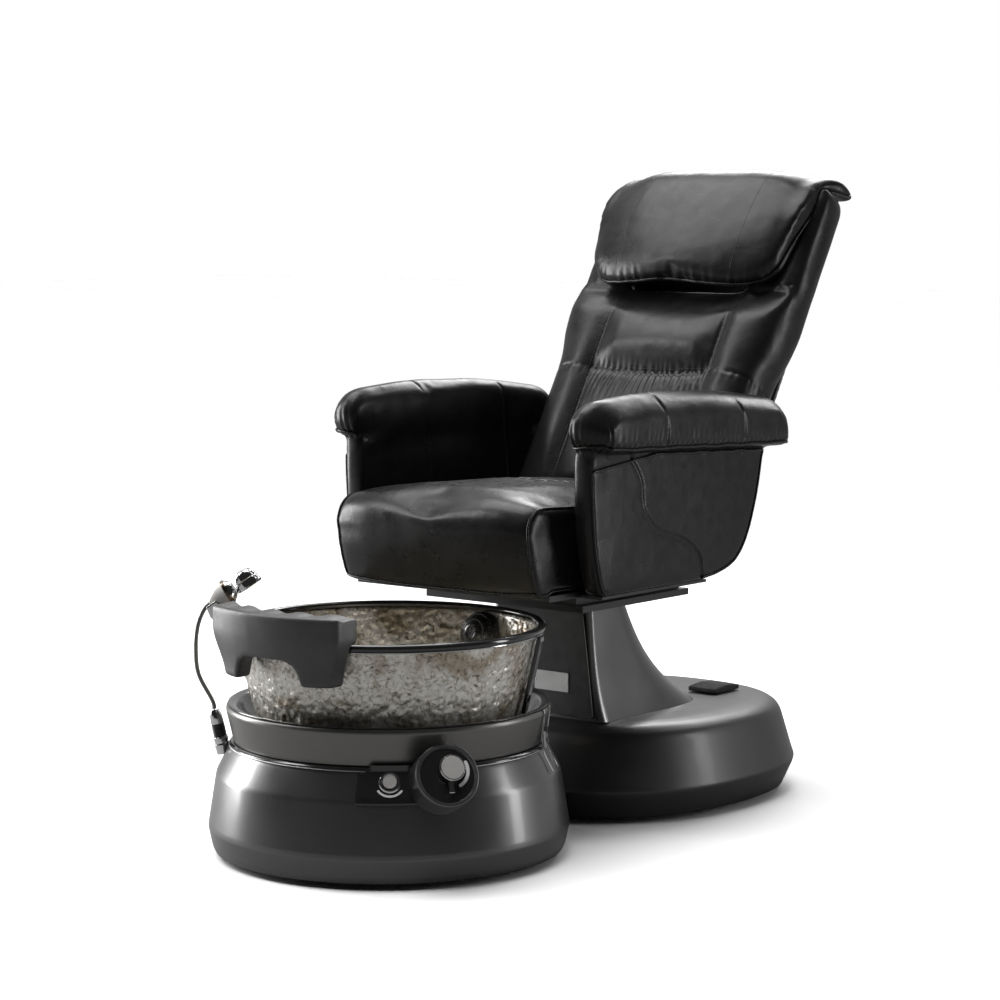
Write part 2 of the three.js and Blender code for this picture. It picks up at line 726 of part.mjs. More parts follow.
// The middle of the back: a lower and an upper cushion that meet at the lumbar seam.
function addBackCushions() {
  const width = 2 * BACK_SEAM_X - 3;
  const cushion = (z0, z1) => {
    const side = outline([
      [BACK_FRONT_Y, z0],
      [BACK_FRONT_Y - 4, (z0 + z1) / 2, 80],
      [BACK_FRONT_Y, z1],
      [60, z1],
      [60, z0],
    ], 24);
    return leaned(alongX(extrude(side, width, { bevel: 10, curveSegments: 2 }), -width / 2));
  };
  add('lumbar_cushion', cushion(22, LUMBAR_Z - 1), 'leather');
  add('back_cushion', cushion(LUMBAR_Z + 1, PILLOW_LOW_Z - 3), 'leather');
}

// A side bolster is a column whose ends are eased over, and it thins behind the headrest.
function addBolsters() {
  const plan = outline([
    [BACK_SEAM_X, -42, 30],
    [BOLSTER_X, -42, 50],
    [BOLSTER_X, BACK_REAR_Y, 50],
    [BACK_SEAM_X, BACK_REAR_Y, 16],
  ], 16);
  const behindPillow = [PILLOW_LOW_Z - 4, PILLOW_LOW_Z + 6, 600, 680, 750, 770, BOLSTER_TOP_Z];
  const levels = [0, 5, 20, 110, 200, 290, 340, 390, 450, ...behindPillow];
  const middleX = (BACK_SEAM_X + BOLSTER_X) / 2;
  const middleY = 37;
  const bolster = reshape(stacked(plan, levels), (p) => {
    const toEnd = Math.min(1, p.z / 20, (BOLSTER_TOP_Z - p.z) / 26);
    const eased = 1 - 0.2 * (1 - Math.sqrt(1 - (1 - toEnd) ** 2));
    p.x = middleX + (p.x - middleX) * eased;
    p.y = middleY + (p.y - middleY) * eased;
    p.x = BACK_SEAM_X + (p.x - BACK_SEAM_X) * (backHalf(p.z) - BACK_SEAM_X) / (BOLSTER_X - BACK_SEAM_X);
    p.y = p.z > PILLOW_LOW_Z ? Math.max(p.y, -6) : p.y;
  });
  const leftBolster = leaned(bolster);
  add('bolster_left', leftBolster, 'leather');
  add('bolster_right', mirrored(leftBolster), 'leather');
}

// The headrest pillow hangs over the top of the back and widens upwards.
function addPillow() {
  const side = outline([
    [-13, PILLOW_LOW_Z + 12, 14],
    [-62, PILLOW_LOW_Z - 4, 26],
    [-78, 580, 60],
    [-72, 690, 100],
    [-44, 786, 60],
    [10, 824, 50],
    [92, 808, 14],
    [92, 784, 12],
    [-13, 784, 8],
  ], 20);
  const half = 100;
  const pillow = alongX(extrude(side, 2 * half, { bevel: 6, curveSegments: 4 }), -half);
  reshape(pillow, (p) => {
    p.x *= (238 + 42 * THREE.MathUtils.smoothstep(p.z, PILLOW_LOW_Z, 750)) / half;
  });
  add('headrest_pillow', leaned(pillow), 'leather');
}

// The moulded rear shell, with two lugs that hang below it and are drilled for the hinge pins.
function addBackShell() {
  const [low, high] = BACK_SHELL_Z;
  const shellShape = outline([
    [-BACK_SHELL_HALF, low],
    [BACK_SHELL_HALF, low],
    [BACK_SHELL_HALF, high],
    [-BACK_SHELL_HALF, high],
  ], 50);
  const plate = extrude(shellShape, BACK_SHELL_T, { curveSegments: 4 });
  const shell = alongY(plate, BACK_REAR_Y + GAP + BACK_SHELL_T);
  const lugShape = outline([
    [HINGE.y - 16, HINGE.z, 12],
    [HINGE.y, HINGE.z - 16, 12],
    [HINGE.y + 18, HINGE.z - 14, 10],
    [BACK_REAR_Y + 6, -18, 4],
    [BACK_REAR_Y + 6, -4, 2],
    [HINGE.y - 10, -4, 6],
  ], 6);
  const lug = alongX(extrude(lugShape, PLATE_T), LUG_X);
  const bore = alongX(disc(HINGE.r + 0.1, -20, 40).translate(HINGE.y, HINGE.z, 0), LUG_X);
  const drilled = carve(lug, bore);
  add('back_shell', leaned(join(shell, drilled, mirrored(drilled))), 'grey_plastic');
}

// The seat's side of the recline hinge: a plate on the pan with a pin through the back's lug.
function addRecline() {
  const pinAt = leaned(new THREE.BufferGeometry().setFromPoints([new THREE.Vector3(0, HINGE.y, HINGE.z)]));
  const y = pinAt.attributes.position.getY(0);
  const z = pinAt.attributes.position.getZ(0);
  const low = PAN_Z[1] + GAP;
  const shape = outline([
    [y - 42, low, 2],
    [y - 4, low, 2],
    [y + 18, z, 14],
    [y, z + 18, 14],
    [y - 18, z, 14],
  ], 6);
  const plate = alongX(extrude(shape, PLATE_T), LUG_X + PLATE_T + GAP);
  const pin = alongX(disc(HINGE.r, LUG_X - 2, LUG_X + 10).translate(y, z, 0), 0);
  const bracket = join(plate, pin);
  add('recline_bracket_left', bracket, 'steel');
  add('recline_bracket_right', mirrored(bracket), 'steel');
}

// ---------------------------------------------------------------------------------------------

// Puts the middle of the footprint at the origin. The free hose is left out of the measurement.
function centreFootprint() {
  const bounds = new THREE.Box3();
  chair.children.filter((mesh) => mesh.name !== 'sprayer_hose').forEach((mesh) => {
    mesh.geometry.computeBoundingBox();
    bounds.union(mesh.geometry.boundingBox);
  });
  const middle = bounds.getCenter(new THREE.Vector3());
  chair.children.forEach((mesh) => mesh.geometry.translate(-middle.x, -middle.y, -bounds.min.z));
}

addBathBody();
addBowl();
addDrain();
addBowlFittings();
addButton();
addValve();
addSprayer();
addSprayerHolder();
addHoseFittings();
addHose();
addFootrest();
addChairBase();
addPedestal();
addFootPedal();
addSlide();
addSeat();
addArms();
addBackCushions();
addBolsters();
addPillow();
addBackShell();
addRecline();
centreFootprint();

export default chair;
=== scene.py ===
# Looks for the pedicure spa chair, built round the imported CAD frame. Lengths are in metres.
# X runs across the seat, the sitter faces -Y and Z is up.
import bpy
import bmesh
import json
import math
from mathutils import Matrix, Vector, noise
from mathutils.bvhtree import BVHTree
from mathutils.kdtree import KDTree


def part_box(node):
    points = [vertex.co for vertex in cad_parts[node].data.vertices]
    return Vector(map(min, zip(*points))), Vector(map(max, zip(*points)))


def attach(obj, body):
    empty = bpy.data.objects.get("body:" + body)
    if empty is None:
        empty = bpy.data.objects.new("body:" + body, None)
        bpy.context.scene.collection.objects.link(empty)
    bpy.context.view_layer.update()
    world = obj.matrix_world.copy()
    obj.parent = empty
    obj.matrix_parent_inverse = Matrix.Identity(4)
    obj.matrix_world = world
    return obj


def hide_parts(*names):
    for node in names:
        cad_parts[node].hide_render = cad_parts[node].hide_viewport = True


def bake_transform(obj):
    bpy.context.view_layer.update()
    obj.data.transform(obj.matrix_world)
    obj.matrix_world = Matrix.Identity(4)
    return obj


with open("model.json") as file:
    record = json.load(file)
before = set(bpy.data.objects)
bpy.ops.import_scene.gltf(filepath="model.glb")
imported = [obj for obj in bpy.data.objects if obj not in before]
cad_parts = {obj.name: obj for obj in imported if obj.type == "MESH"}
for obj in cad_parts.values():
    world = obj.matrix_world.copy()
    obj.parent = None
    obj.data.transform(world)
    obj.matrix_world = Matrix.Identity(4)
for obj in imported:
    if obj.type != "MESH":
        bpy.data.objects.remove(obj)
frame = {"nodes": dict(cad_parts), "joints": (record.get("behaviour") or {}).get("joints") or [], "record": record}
# noise_vector would otherwise take its offsets from the clock.
noise.seed_set(1)
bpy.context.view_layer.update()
scene = bpy.context.scene
NODES = frame["nodes"]
JOINTS = {joint["name"]: joint for joint in frame["joints"]}


def low(node):
    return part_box(node)[0]


def high(node):
    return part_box(node)[1]


def middle(node):
    lowest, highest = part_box(node)
    return (lowest + highest) / 2


BATH = middle("bath_shell").xy.to_3d()
BACK_HINGE = Vector(JOINTS["back_recline"]["pos_m"])
RECLINE = math.radians(31)
HINGE_IN_BACK = (0.030, -0.045)


def leaned(x, y, z, foot=Vector((0, 0, 0))):
    """A point of the back, given upright about its foot with its front towards -Y, once leaned."""
    cos, sin = math.cos(RECLINE), math.sin(RECLINE)
    return foot + Vector((x, y * cos + z * sin, z * cos - y * sin))


BACK_FOOT = BACK_HINGE - leaned(0, *HINGE_IN_BACK)


def on_back(x, y, z):
    return leaned(x, y, z, BACK_FOOT)


def in_back(point):
    """The inverse of on_back."""
    cos, sin = math.cos(RECLINE), math.sin(RECLINE)
    p = point - BACK_FOOT
    return Vector((p.x, p.y * cos - p.z * sin, p.y * sin + p.z * cos))


# ------------------------------------------------------------------------------------------
# Small maths

def smooth_step(value, start, end):
    t = min(1.0, max(0.0, (value - start) / (end - start)))
    return t * t * (3 - 2 * t)


def polar(radius, bearing, z):
    """A point about the footbath's axis."""
    return BATH + Vector((radius * math.cos(bearing), radius * math.sin(bearing), z))


def curve_through(points, per_span=8):
    """A smooth line through the points (Catmull-Rom)."""
    points = [Vector(p) for p in points]
    ends = [2 * points[0] - points[1]] + points + [2 * points[-1] - points[-2]]
    line = []
    for a, b, c, d in zip(ends, ends[1:], ends[2:], ends[3:]):
        for i in range(per_span):
            t = i / per_span
            line.append(0.5 * (2 * b + (c - a) * t + (2 * a - 5 * b + 4 * c - d) * t * t
                               + (3 * b - a - 3 * c + d) * t ** 3))
    return line + [points[-1]]


def rounded(corners, radius, steps=5, closed=True):
    """A 2-D outline with its corners eased; a corner's own radius may follow its coordinates."""
    count = len(corners)
    line = []
    for i, corner in enumerate(corners):
        here = Vector(corner[:2])
        if not closed and i in (0, count - 1):
            line.append(here)
            continue
        before = Vector(corners[i - 1][:2])
        after = Vector(corners[(i + 1) % count][:2])
        own = corner[2] if len(corner) > 2 else radius
        reach = min(own, (before - here).length / 2.01, (after - here).length / 2.01)
        start = here + (before - here).normalized() * reach
        end = here + (after - here).normalized() * reach
        for k in range(steps + 1):
            t = k / steps
            line.append(start * (1 - t) ** 2 + here * 2 * t * (1 - t) + end * t * t)
    return line


def resampled(line, spacing):
    """Points at an even spacing along a line."""
    line = [Vector(p) for p in line]
    total = sum((b - a).length for a, b in zip(line, line[1:]))
    count = max(2, round(total / spacing))
    step = total / count
    result, travelled, target = [line[0]], 0.0, step
    for a, b in zip(line, line[1:]):
        length = (b - a).length
        while length > 0 and travelled + length >= target - 1e-9 and len(result) < count:
            result.append(a.lerp(b, (target - travelled) / length))
            target += step
        travelled += length
    return result + [line[-1]]


# ------------------------------------------------------------------------------------------
# Materials

class Shader:
    """A node material with one Principled shader; plain values are set on its own sockets."""

    def __init__(self, name, **values):
        self.material = bpy.data.materials.new(name)
        self.material.use_nodes = True
        self.tree = self.material.node_tree
        self.surface = self.tree.nodes["Principled BSDF"]
        for socket, value in values.items():
            self.surface.inputs[socket.replace("_", " ")].default_value = value
        self.coordinates = self.tree.nodes.new("ShaderNodeTexCoord").outputs["Object"]

    def add(self, kind, inputs=None, **settings):
        node = self.tree.nodes.new("ShaderNode" + kind)
        for key, value in settings.items():
            setattr(node, key, value)
        for key, value in (inputs or {}).items():
            if isinstance(value, bpy.types.NodeSocket):
                self.tree.links.new(value, node.inputs[key])
            else:
                node.inputs[key].default_value = value
        return node

    def stretched(self, scale):
        return self.add("Mapping", {"Vector": self.coordinates, "Scale": scale}).outputs[0]

    def noise(self, scale, detail=3.0, vector=None, distortion=0.0):
        values = {"Vector": vector or self.coordinates, "Scale": scale, "Detail": detail}
        values["Distortion"] = distortion
        return self.add("TexNoise", values).outputs[0]

    def cells(self, scale, feature="F1", vector=None):
        values = {"Vector": vector or self.coordinates, "Scale": scale}
        return self.add("TexVoronoi", values, feature=feature).outputs["Distance"]

    def ramp(self, factor, stops):
        node = self.add("ValToRGB", {"Fac": factor})
        elements = node.color_ramp.elements
        while len(elements) < len(stops):
            elements.new(0.5)
        for element, (position, colour) in zip(elements, stops):
            element.position = position
            value = colour if isinstance(colour, tuple) else (colour,) * 3
            element.color = (*value, 1)
        return node.outputs[0]

    def bump(self, height, strength, distance, normal=None):
        values = {"Height": height, "Strength": strength, "Distance": distance}
        if normal is not None:
            values["Normal"] = normal
        return self.add("Bump", values).outputs[0]

    def wire(self, socket, output):
        self.tree.links.new(output, self.surface.inputs[socket])
        return self


def make_leather(name, tone=0.008, roughness=(0.27, 0.40), grain=620.0):
    """Black upholstery leather: pores, fine creases and slow unevenness under a soft gloss."""
    made = Shader(name, Specular_IOR_Level=0.28, Coat_Weight=0.07, Coat_Roughness=0.20)
    cloud = made.noise(9, 4)
    made.wire("Base Color", made.ramp(cloud, [(0.3, tone * 0.8), (0.7, tone * 1.35)]))
    scuffs = made.noise(38, 6, distortion=0.6)
    made.wire("Roughness", made.ramp(scuffs, [(0.30, roughness[0]), (0.72, roughness[1])]))
    pores = made.bump(made.cells(grain), 0.12, 0.0006)
    folds = made.noise(120, 5, distortion=1.4)
    creased = made.bump(folds, 0.08, 0.0012, pores)
    made.wire("Normal", made.bump(made.noise(24, 4, distortion=0.9), 0.16, 0.004, creased))
    return made.material


def make_paint(name, tone, roughness, metallic=0.85, coat=0.5, warm=0.0):
    made = Shader(name, Metallic=metallic, Coat_Weight=coat, Coat_Roughness=0.12)
    flakes = made.noise(900, 2)
    dark = (tone * (1 + warm) * 0.94, tone * 0.94, tone * (1 - warm) * 0.94)
    pale = (tone * (1 + warm) * 1.06, tone * 1.06, tone * (1 - warm) * 1.06)
    made.wire("Base Color", made.ramp(flakes, [(0.35, dark), (0.65, pale)]))
    smears = made.noise(7, 5)
    made.wire("Roughness", made.ramp(smears, [(0.3, roughness * 0.85), (0.7, roughness * 1.2)]))
    made.wire("Normal", made.bump(made.noise(1400, 2), 0.015, 0.0002))
    return made.material


def make_brushed(name, tone, roughness, metallic=0.9):
    """Satin metal with very fine scratches round the footbath's axis."""
    made = Shader(name, Metallic=metallic, Coat_Weight=0.15, Coat_Roughness=0.2)
    scratches = made.noise(60, 4, vector=made.stretched((0.5, 0.5, 26)))
    made.wire("Base Color", made.ramp(scratches, [(0.3, (tone * 0.93, tone * 0.91, tone * 0.88)),
                                                  (0.7, (tone * 1.06, tone * 1.04, tone * 1.0))]))
    made.wire("Roughness", made.ramp(scratches, [(0.3, roughness * 0.85), (0.7, roughness * 1.15)]))
    made.wire("Normal", made.bump(scratches, 0.05, 0.0004))
    return made.material


def make_plastic(name, tone, roughness, grain=900.0, strength=0.12, warm=0.0, gloss=0.5):
    made = Shader(name, Specular_IOR_Level=gloss)
    cloud = made.noise(22, 4)
    made.wire("Base Color", made.ramp(cloud, [(0.3, (tone * 0.9 * (1 + warm), tone * 0.9,
                                                     tone * 0.9 * (1 - warm))),
                                              (0.7, (tone * 1.1 * (1 + warm), tone * 1.1,
                                                     tone * 1.1 * (1 - warm)))]))
    made.wire("Roughness", made.ramp(made.noise(60, 4), [(0.3, roughness * 0.88), (0.7, roughness * 1.14)]))
    made.wire("Normal", made.bump(made.cells(grain), strength, 0.0004))
    return made.material


def make_chrome(name, tone=0.82, roughness=0.08):
    made = Shader(name, Metallic=1.0)
    stains = made.noise(30, 5)
    made.wire("Base Color", made.ramp(stains, [(0.3, tone * 0.92), (0.7, tone)]))
    made.wire("Roughness", made.ramp(stains, [(0.35, roughness * 0.7), (0.75, roughness * 1.6)]))
    made.wire("Normal", made.bump(made.noise(220, 2), 0.02, 0.0004))
    return made.material


def make_hammered(name):
    """Silvered glass: champagne lustre broken by smoky and golden flecks over an uneven, hammered face; lower down
    the colour turns golden and darker, and that darkening is painted shade.
    """
    made = Shader(name, Metallic=0.4, Coat_Weight=0.7, Coat_Roughness=0.05)
    # Painted shade: by height, the colour turns golden and darker towards the bowl's bottom.
    low = made.add("SeparateXYZ", {"Vector": made.coordinates}).outputs["Z"]
    depth = made.add("MapRange", {"Value": low, "From Min": 0.225, "From Max": 0.33}).outputs["Result"]
    flecks = made.noise(70, 5, distortion=1.8)
    broken = made.ramp(flecks, [(0.32, (0.26, 0.23, 0.19)), (0.42, (0.72, 0.68, 0.60)),
                                (0.54, (0.97, 0.94, 0.88))])
    gold_with_painted_shade = made.ramp(flecks, [(0.38, (0.06, 0.05, 0.036)), (0.50, (0.32, 0.27, 0.18)),
                                (0.64, (0.74, 0.67, 0.50))])
    drift = made.noise(14, 4, distortion=0.8)
    share = made.add("Math", {0: depth, 1: drift}, operation="ADD").outputs[0]
    mixed = made.add("Mix", {0: made.ramp(share, [(0.55, 0.0), (1.0, 1.0)]), 6: gold_with_painted_shade, 7: broken},
                     data_type="RGBA")
    patches = made.ramp(made.noise(10, 3, distortion=1.2),
                        [(0.36, (0.50, 0.44, 0.36)), (0.54, (1.0, 1.0, 1.0))])
    toned = made.add("Mix", {0: 1.0, 6: mixed.outputs[2], 7: patches}, data_type="RGBA",
                     blend_type="MULTIPLY")
    made.wire("Base Color", toned.outputs[2])
    made.wire("Roughness", made.ramp(made.noise(50, 4), [(0.3, 0.08), (0.7, 0.22)]))
    ripples = made.bump(made.noise(130, 3, distortion=2.0), 0.3, 0.003)
    made.wire("Normal", made.bump(made.cells(85, "SMOOTH_F1"), 0.8, 0.004, ripples))
    return made.material


def make_speckled(name):
    """Wet-looking black plastic with pale specks."""
    made = Shader(name, Coat_Weight=0.6, Coat_Roughness=0.08)
    specks = made.noise(420, 2)
    made.wire("Base Color", made.ramp(specks, [(0.60, 0.012), (0.70, 0.22)]))
    made.wire("Roughness", made.ramp(specks, [(0.3, 0.22), (0.7, 0.4)]))
    made.wire("Normal", made.bump(made.cells(300), 0.4, 0.001))
    return made.material


LEATHER = make_leather("leather_black")
LEATHER_SMOOTH = make_leather("leather_seat", roughness=(0.25, 0.36))
PIPING = make_leather("leather_piping", tone=0.009, roughness=(0.24, 0.34), grain=1100.0)
THREAD = make_plastic("thread_grey", 0.06, 0.6, grain=2400.0)
GUNMETAL = make_paint("gunmetal_paint", 0.15, 0.31)
# A darker copy of the gunmetal paint for the chair base: its lower tone is painted shade.
GUNMETAL_SHADED = make_paint("gunmetal_paint_shaded", 0.09, 0.42, coat=0.1)
SATIN_GREY = make_brushed("satin_grey_collar", 0.20, 0.36)
GLOSS_BLACK = make_paint("gloss_black", 0.018, 0.16, metallic=0.2, coat=0.8)
BLACK_PLASTIC = make_plastic("black_plastic", 0.018, 0.42)
PAD_GREY = make_plastic("footrest_foam", 0.034, 0.42, grain=1500.0, strength=0.15, gloss=0.9)
GREY_PLASTIC = make_plastic("grey_plastic", 0.38, 0.35)
SHELL_GREY = make_plastic("back_shell_grey", 0.12, 0.38)
LABEL = make_plastic("blank_label", 0.62, 0.4, strength=0.05)
CHROME = make_chrome("chrome")
SATIN_CHROME = make_chrome("satin_chrome", tone=0.8, roughness=0.36)
DISC_METAL = make_brushed("brushed_disc", 0.50, 0.45, metallic=0.3)
STEEL = make_paint("dark_steel", 0.05, 0.4, metallic=0.8, coat=0.1)
RUBBER = make_plastic("rubber_foot", 0.02, 0.72, grain=700.0, strength=0.3)
HAMMERED = make_hammered("hammered_glass")
BRAID = make_brushed("braided_hose", 0.22, 0.35)
SPECKLED = make_speckled("speckled_black")
PEARL = make_plastic("pearl_plastic", 0.55, 0.22, strength=0.04, warm=0.03)
GILT = make_paint("gilt_band", 0.16, 0.18, metallic=1.0, warm=0.25)
SATIN_BLACK = make_plastic("satin_black", 0.012, 0.35, grain=1400.0, strength=0.06)
SMOKED = make_paint("smoked_glass", 0.03, 0.12, metallic=0.5, coat=0.9)


# ------------------------------------------------------------------------------------------
# Meshes

def put(name, mesh, material, smooth=True):
    mesh.materials.clear()
    mesh.materials.append(material)
    mesh.polygons.foreach_set("use_smooth", [smooth] * len(mesh.polygons))
    piece = bpy.data.objects.new(name, mesh)
    scene.collection.objects.link(piece)
    return piece


def from_faces(name, points, faces, material, smooth=True):
    mesh = bpy.data.meshes.new(name)
    mesh.from_pydata([tuple(p) for p in points], [], faces)
    mesh.validate()
    editable = bmesh.new()
    editable.from_mesh(mesh)
    bmesh.ops.remove_doubles(editable, verts=editable.verts, dist=1e-6)
    bmesh.ops.recalc_face_normals(editable, faces=editable.faces)
    editable.to_mesh(mesh)
    editable.free()
    return put(name, mesh, material, smooth)


def loft(name, rings, material, closed=False, smooth=True):
    """Skins equal rings of points; the two end rings are closed unless the loft itself closes."""
    size = len(rings[0])
    points = [p for ring in rings for p in ring]
    faces = []
    spans = len(rings) if closed else len(rings) - 1
    for i in range(spans):
        a, b = i * size, (i + 1) % len(rings) * size
        for k in range(size):
            n = (k + 1) % size
            faces.append((a + k, a + n, b + n, b + k))
    if not closed:
        faces.append(tuple(range(size))[::-1])
        last = (len(rings) - 1) * size
        faces.append(tuple(range(last, last + size)))
    return from_faces(name, points, faces, material, smooth)


def applied(piece):
    """Bakes a piece's modifiers into its mesh."""
    graph = bpy.context.evaluated_depsgraph_get()
    graph.update()
    mesh = bpy.data.meshes.new_from_object(piece.evaluated_get(graph))
    piece.modifiers.clear()
    piece.data = mesh
    return piece


def modifier(piece, kind, **settings):
    made = piece.modifiers.new(kind.lower(), kind)
    for key, value in settings.items():
        setattr(made, key, value)
    return made


def sharpened(piece, degrees=35):
    """Keeps flat faces flat on a piece that is shaded smooth."""
    for polygon in piece.data.polygons:
        polygon.use_smooth = True
    editable = bmesh.new()
    editable.from_mesh(piece.data)
    for edge in editable.edges:
        if len(edge.link_faces) == 2:
            edge.smooth = edge.calc_face_angle(0) < math.radians(degrees)
    editable.to_mesh(piece.data)
    editable.free()
    return piece


def turned(name, profile, material, centre=BATH, steps=192, wobble=None):
    """Turns a profile of (radius, height) about a vertical axis."""
    rings = []
    for i in range(steps):
        angle = 2 * math.pi * i / steps
        ring = []
        for r, z in profile:
            extra = wobble(angle, r, z) if wobble else 0.0
            ring.append(centre + Vector(((r + extra) * math.cos(angle), (r + extra) * math.sin(angle), z)))
        rings.append(ring)
    return loft(name, rings, material, closed=True)


def placed(piece, matrix):
    piece.data.transform(matrix)
    if matrix.determinant() < 0:
        piece.data.flip_normals()
    return piece


def facing(origin, axis, up=Vector((0, 0, 1))):
    """A frame whose Z is the axis and whose Y leans up."""
    z = Vector(axis).normalized()
    y = (up - z * up.dot(z)).normalized()
    x = y.cross(z)
    matrix = Matrix((x, y, z)).transposed().to_4x4()
    matrix.translation = origin
    return matrix


def turned_at(name, profile, material, matrix, steps=64):
    """Turns a profile about the Z of a frame."""
    return placed(turned(name, profile, material, Vector((0, 0, 0)), steps), matrix)


def slab(name, outline, thickness, material, matrix, ease=0.0008):
    """An outline in the frame's XY plane, thickened along its Z, with eased edges."""
    def ring(inset, z):
        centre = sum((Vector(p) for p in outline), Vector((0, 0))) / len(outline)
        flat = [Vector(p) + (centre - Vector(p)).normalized() * inset for p in outline]
        return [p.to_3d() + Vector((0, 0, z)) for p in flat]
    levels = [(ease, 0), (0, ease), (0, thickness - ease), (ease, thickness)]
    return sharpened(placed(loft(name, [ring(*level) for level in levels], material), matrix), 40)


def tube(name, line, radius, material, sides=10, closed=False):
    """A tube along a line; the radius may be a rule of how far along it is, from 0 to 1."""
    line = [Vector(p) for p in line]
    count = len(line)
    rings = []
    normal = None
    for i, point in enumerate(line):
        ahead = line[(i + 1) % count] if closed or i + 1 < count else point
        behind = line[i - 1] if closed or i > 0 else point
        tangent = (ahead - behind).normalized()
        if normal is None:
            normal = tangent.orthogonal().normalized()
        normal = (normal - tangent * normal.dot(tangent)).normalized()
        side = tangent.cross(normal)
        r = radius(i / (count - 1)) if callable(radius) else radius
        turn = [2 * math.pi * k / sides for k in range(sides)]
        rings.append([point + normal * (r * math.cos(a)) + side * (r * math.sin(a)) for a in turn])
    return loft(name, rings, material, closed=closed)


def joined(name, pieces):
    """Makes one piece of several, keeping their materials."""
    meshes = bmesh.new()
    materials = []
    for piece in pieces:
        start = len(meshes.faces)
        meshes.from_mesh(piece.data)
        meshes.faces.ensure_lookup_table()
        kinds = [slot for slot in piece.data.materials]
        for face in meshes.faces[start:]:
            kind = kinds[face.material_index]
            if kind not in materials:
                materials.append(kind)
            face.material_index = materials.index(kind)
        bpy.data.objects.remove(piece)
    mesh = bpy.data.meshes.new(name)
    meshes.to_mesh(mesh)
    meshes.free()
    result = bpy.data.objects.new(name, mesh)
    for kind in materials:
        mesh.materials.append(kind)
    scene.collection.objects.link(result)
    return result


def surface_tree(piece):
    corners = [vertex.co for vertex in piece.data.vertices]
    return BVHTree.FromPolygons(corners, [face.vertices for face in piece.data.polygons])


def inward_and_up(bearing, slope):
    """A direction from the footbath's wall towards its middle, tilted up by a slope."""
    flat = math.cos(slope)
    return Vector((-math.cos(bearing) * flat, -math.sin(bearing) * flat, math.sin(slope)))


def laid_on(piece, surface, axis, low_lift, high_lift):
    """Lays a flat piece on a surface along an axis: its back at one lift and its face at another."""
    tree = surface_tree(surface)
    level = sum((v.co.dot(axis) for v in piece.data.vertices)) / len(piece.data.vertices)
    for vertex in piece.data.vertices:
        spot = tree.ray_cast(vertex.co + axis * 0.05, -axis)[0]
        if spot:
            vertex.co = spot + axis * (high_lift if vertex.co.dot(axis) > level else low_lift)


def mirror_of(name, piece):
    """The other side's copy of a piece."""
    copy = bpy.data.objects.new(name, piece.data.copy())
    scene.collection.objects.link(copy)
    copy.data.transform(Matrix.Scale(-1, 4, (1, 0, 0)))
    copy.data.flip_normals()
    return copy


def stand_for(piece, body, slot, *nodes):
    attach(piece, body)
    if nodes:
        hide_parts(*nodes)
    return piece


# ------------------------------------------------------------------------------------------
# Camera, floor and light

CAMERA_PLACE = Vector((3.573172, -4.495728, 1.236036))
CAMERA_LOOK = Vector((-0.626319, 0.772666, -0.103500))
CAMERA_LENS = 103.737
FLOOR_BOUNCE = 0.20


def make_camera():
    data = bpy.data.cameras.new("camera")
    data.lens = CAMERA_LENS
    data.sensor_width = 36
    data.clip_end = 60
    camera = bpy.data.objects.new("camera", data)
    camera.location = CAMERA_PLACE
    camera.rotation_euler = CAMERA_LOOK.to_track_quat("-Z", "Y").to_euler()
    scene.collection.objects.link(camera)
    scene.camera = camera


def make_floor():
    """A pale floor, which throws less light on the object than its own brightness would."""
    made = Shader("floor_white", Roughness=0.7)
    made.wire("Base Color", made.ramp(made.noise(0.8, 2), [(0.2, 0.92), (0.8, 0.94)]))
    shaded = made.add("BsdfDiffuse", {"Color": (FLOOR_BOUNCE,) * 3 + (1,)}).outputs[0]
    seen = made.add("LightPath").outputs["Is Camera Ray"]
    mixed = made.add("MixShader", {0: seen, 1: shaded, 2: made.surface.outputs[0]}).outputs[0]
    made.tree.links.new(mixed, made.tree.nodes["Material Output"].inputs["Surface"])
    size = 30
    corners = [(-size, -size, 0), (size, -size, 0), (size, size, 0), (-size, size, 0)]
    floor = from_faces("floor", corners, [(0, 1, 2, 3)], made.material)
    floor.location.z = -0.0005


def make_light(name, place, target, size, power, tint=(1, 1, 1)):
    data = bpy.data.lights.new(name, "AREA")
    data.shape = "RECTANGLE"
    data.size, data.size_y = size
    data.energy = power
    data.color = tint
    light = bpy.data.objects.new(name, data)
    light.location = place
    light.rotation_euler = (Vector(target) - Vector(place)).to_track_quat("-Z", "Y").to_euler()
    light.visible_camera = False
    scene.collection.objects.link(light)


def make_world():
    """White behind the chair and dark on the camera's side; the camera itself sees plain white."""
    world = bpy.data.worlds.new("studio")
    world.use_nodes = True
    tree = world.node_tree
    add = tree.nodes.new
    link = tree.links.new
    facing_away = add("ShaderNodeVectorMath")
    facing_away.operation = "DOT_PRODUCT"
    facing_away.inputs[1].default_value = CAMERA_LOOK
    link(add("ShaderNodeTexCoord").outputs["Generated"], facing_away.inputs[0])
    span = add("ShaderNodeMapRange")
    span.interpolation_type = "SMOOTHSTEP"
    for socket, value in zip(span.inputs[1:5], (-0.3, 0.9, 0.02, 0.42)):
        socket.default_value = value
    link(facing_away.outputs["Value"], span.inputs[0])
    seen = add("ShaderNodeLightPath").outputs["Is Camera Ray"]
    strength = add("ShaderNodeMix")
    link(seen, strength.inputs[0])
    link(span.outputs[0], strength.inputs[2])
    strength.inputs[3].default_value = 1.0
    link(strength.outputs[0], tree.nodes["Background"].inputs["Strength"])
    tree.nodes["Background"].inputs["Color"].default_value = (1, 1, 1, 1)
    scene.world = world


def make_floor_wash():
    """An even light from above for the floor; it is kept out of the object's reflections."""
    data = bpy.data.lights.new("wash", "SUN")
    data.energy = 3.4
    data.angle = math.radians(50)
    wash = bpy.data.objects.new("wash", data)
    wash.rotation_euler = (math.radians(12), math.radians(-10), 0)
    wash.visible_glossy = False
    scene.collection.objects.link(wash)


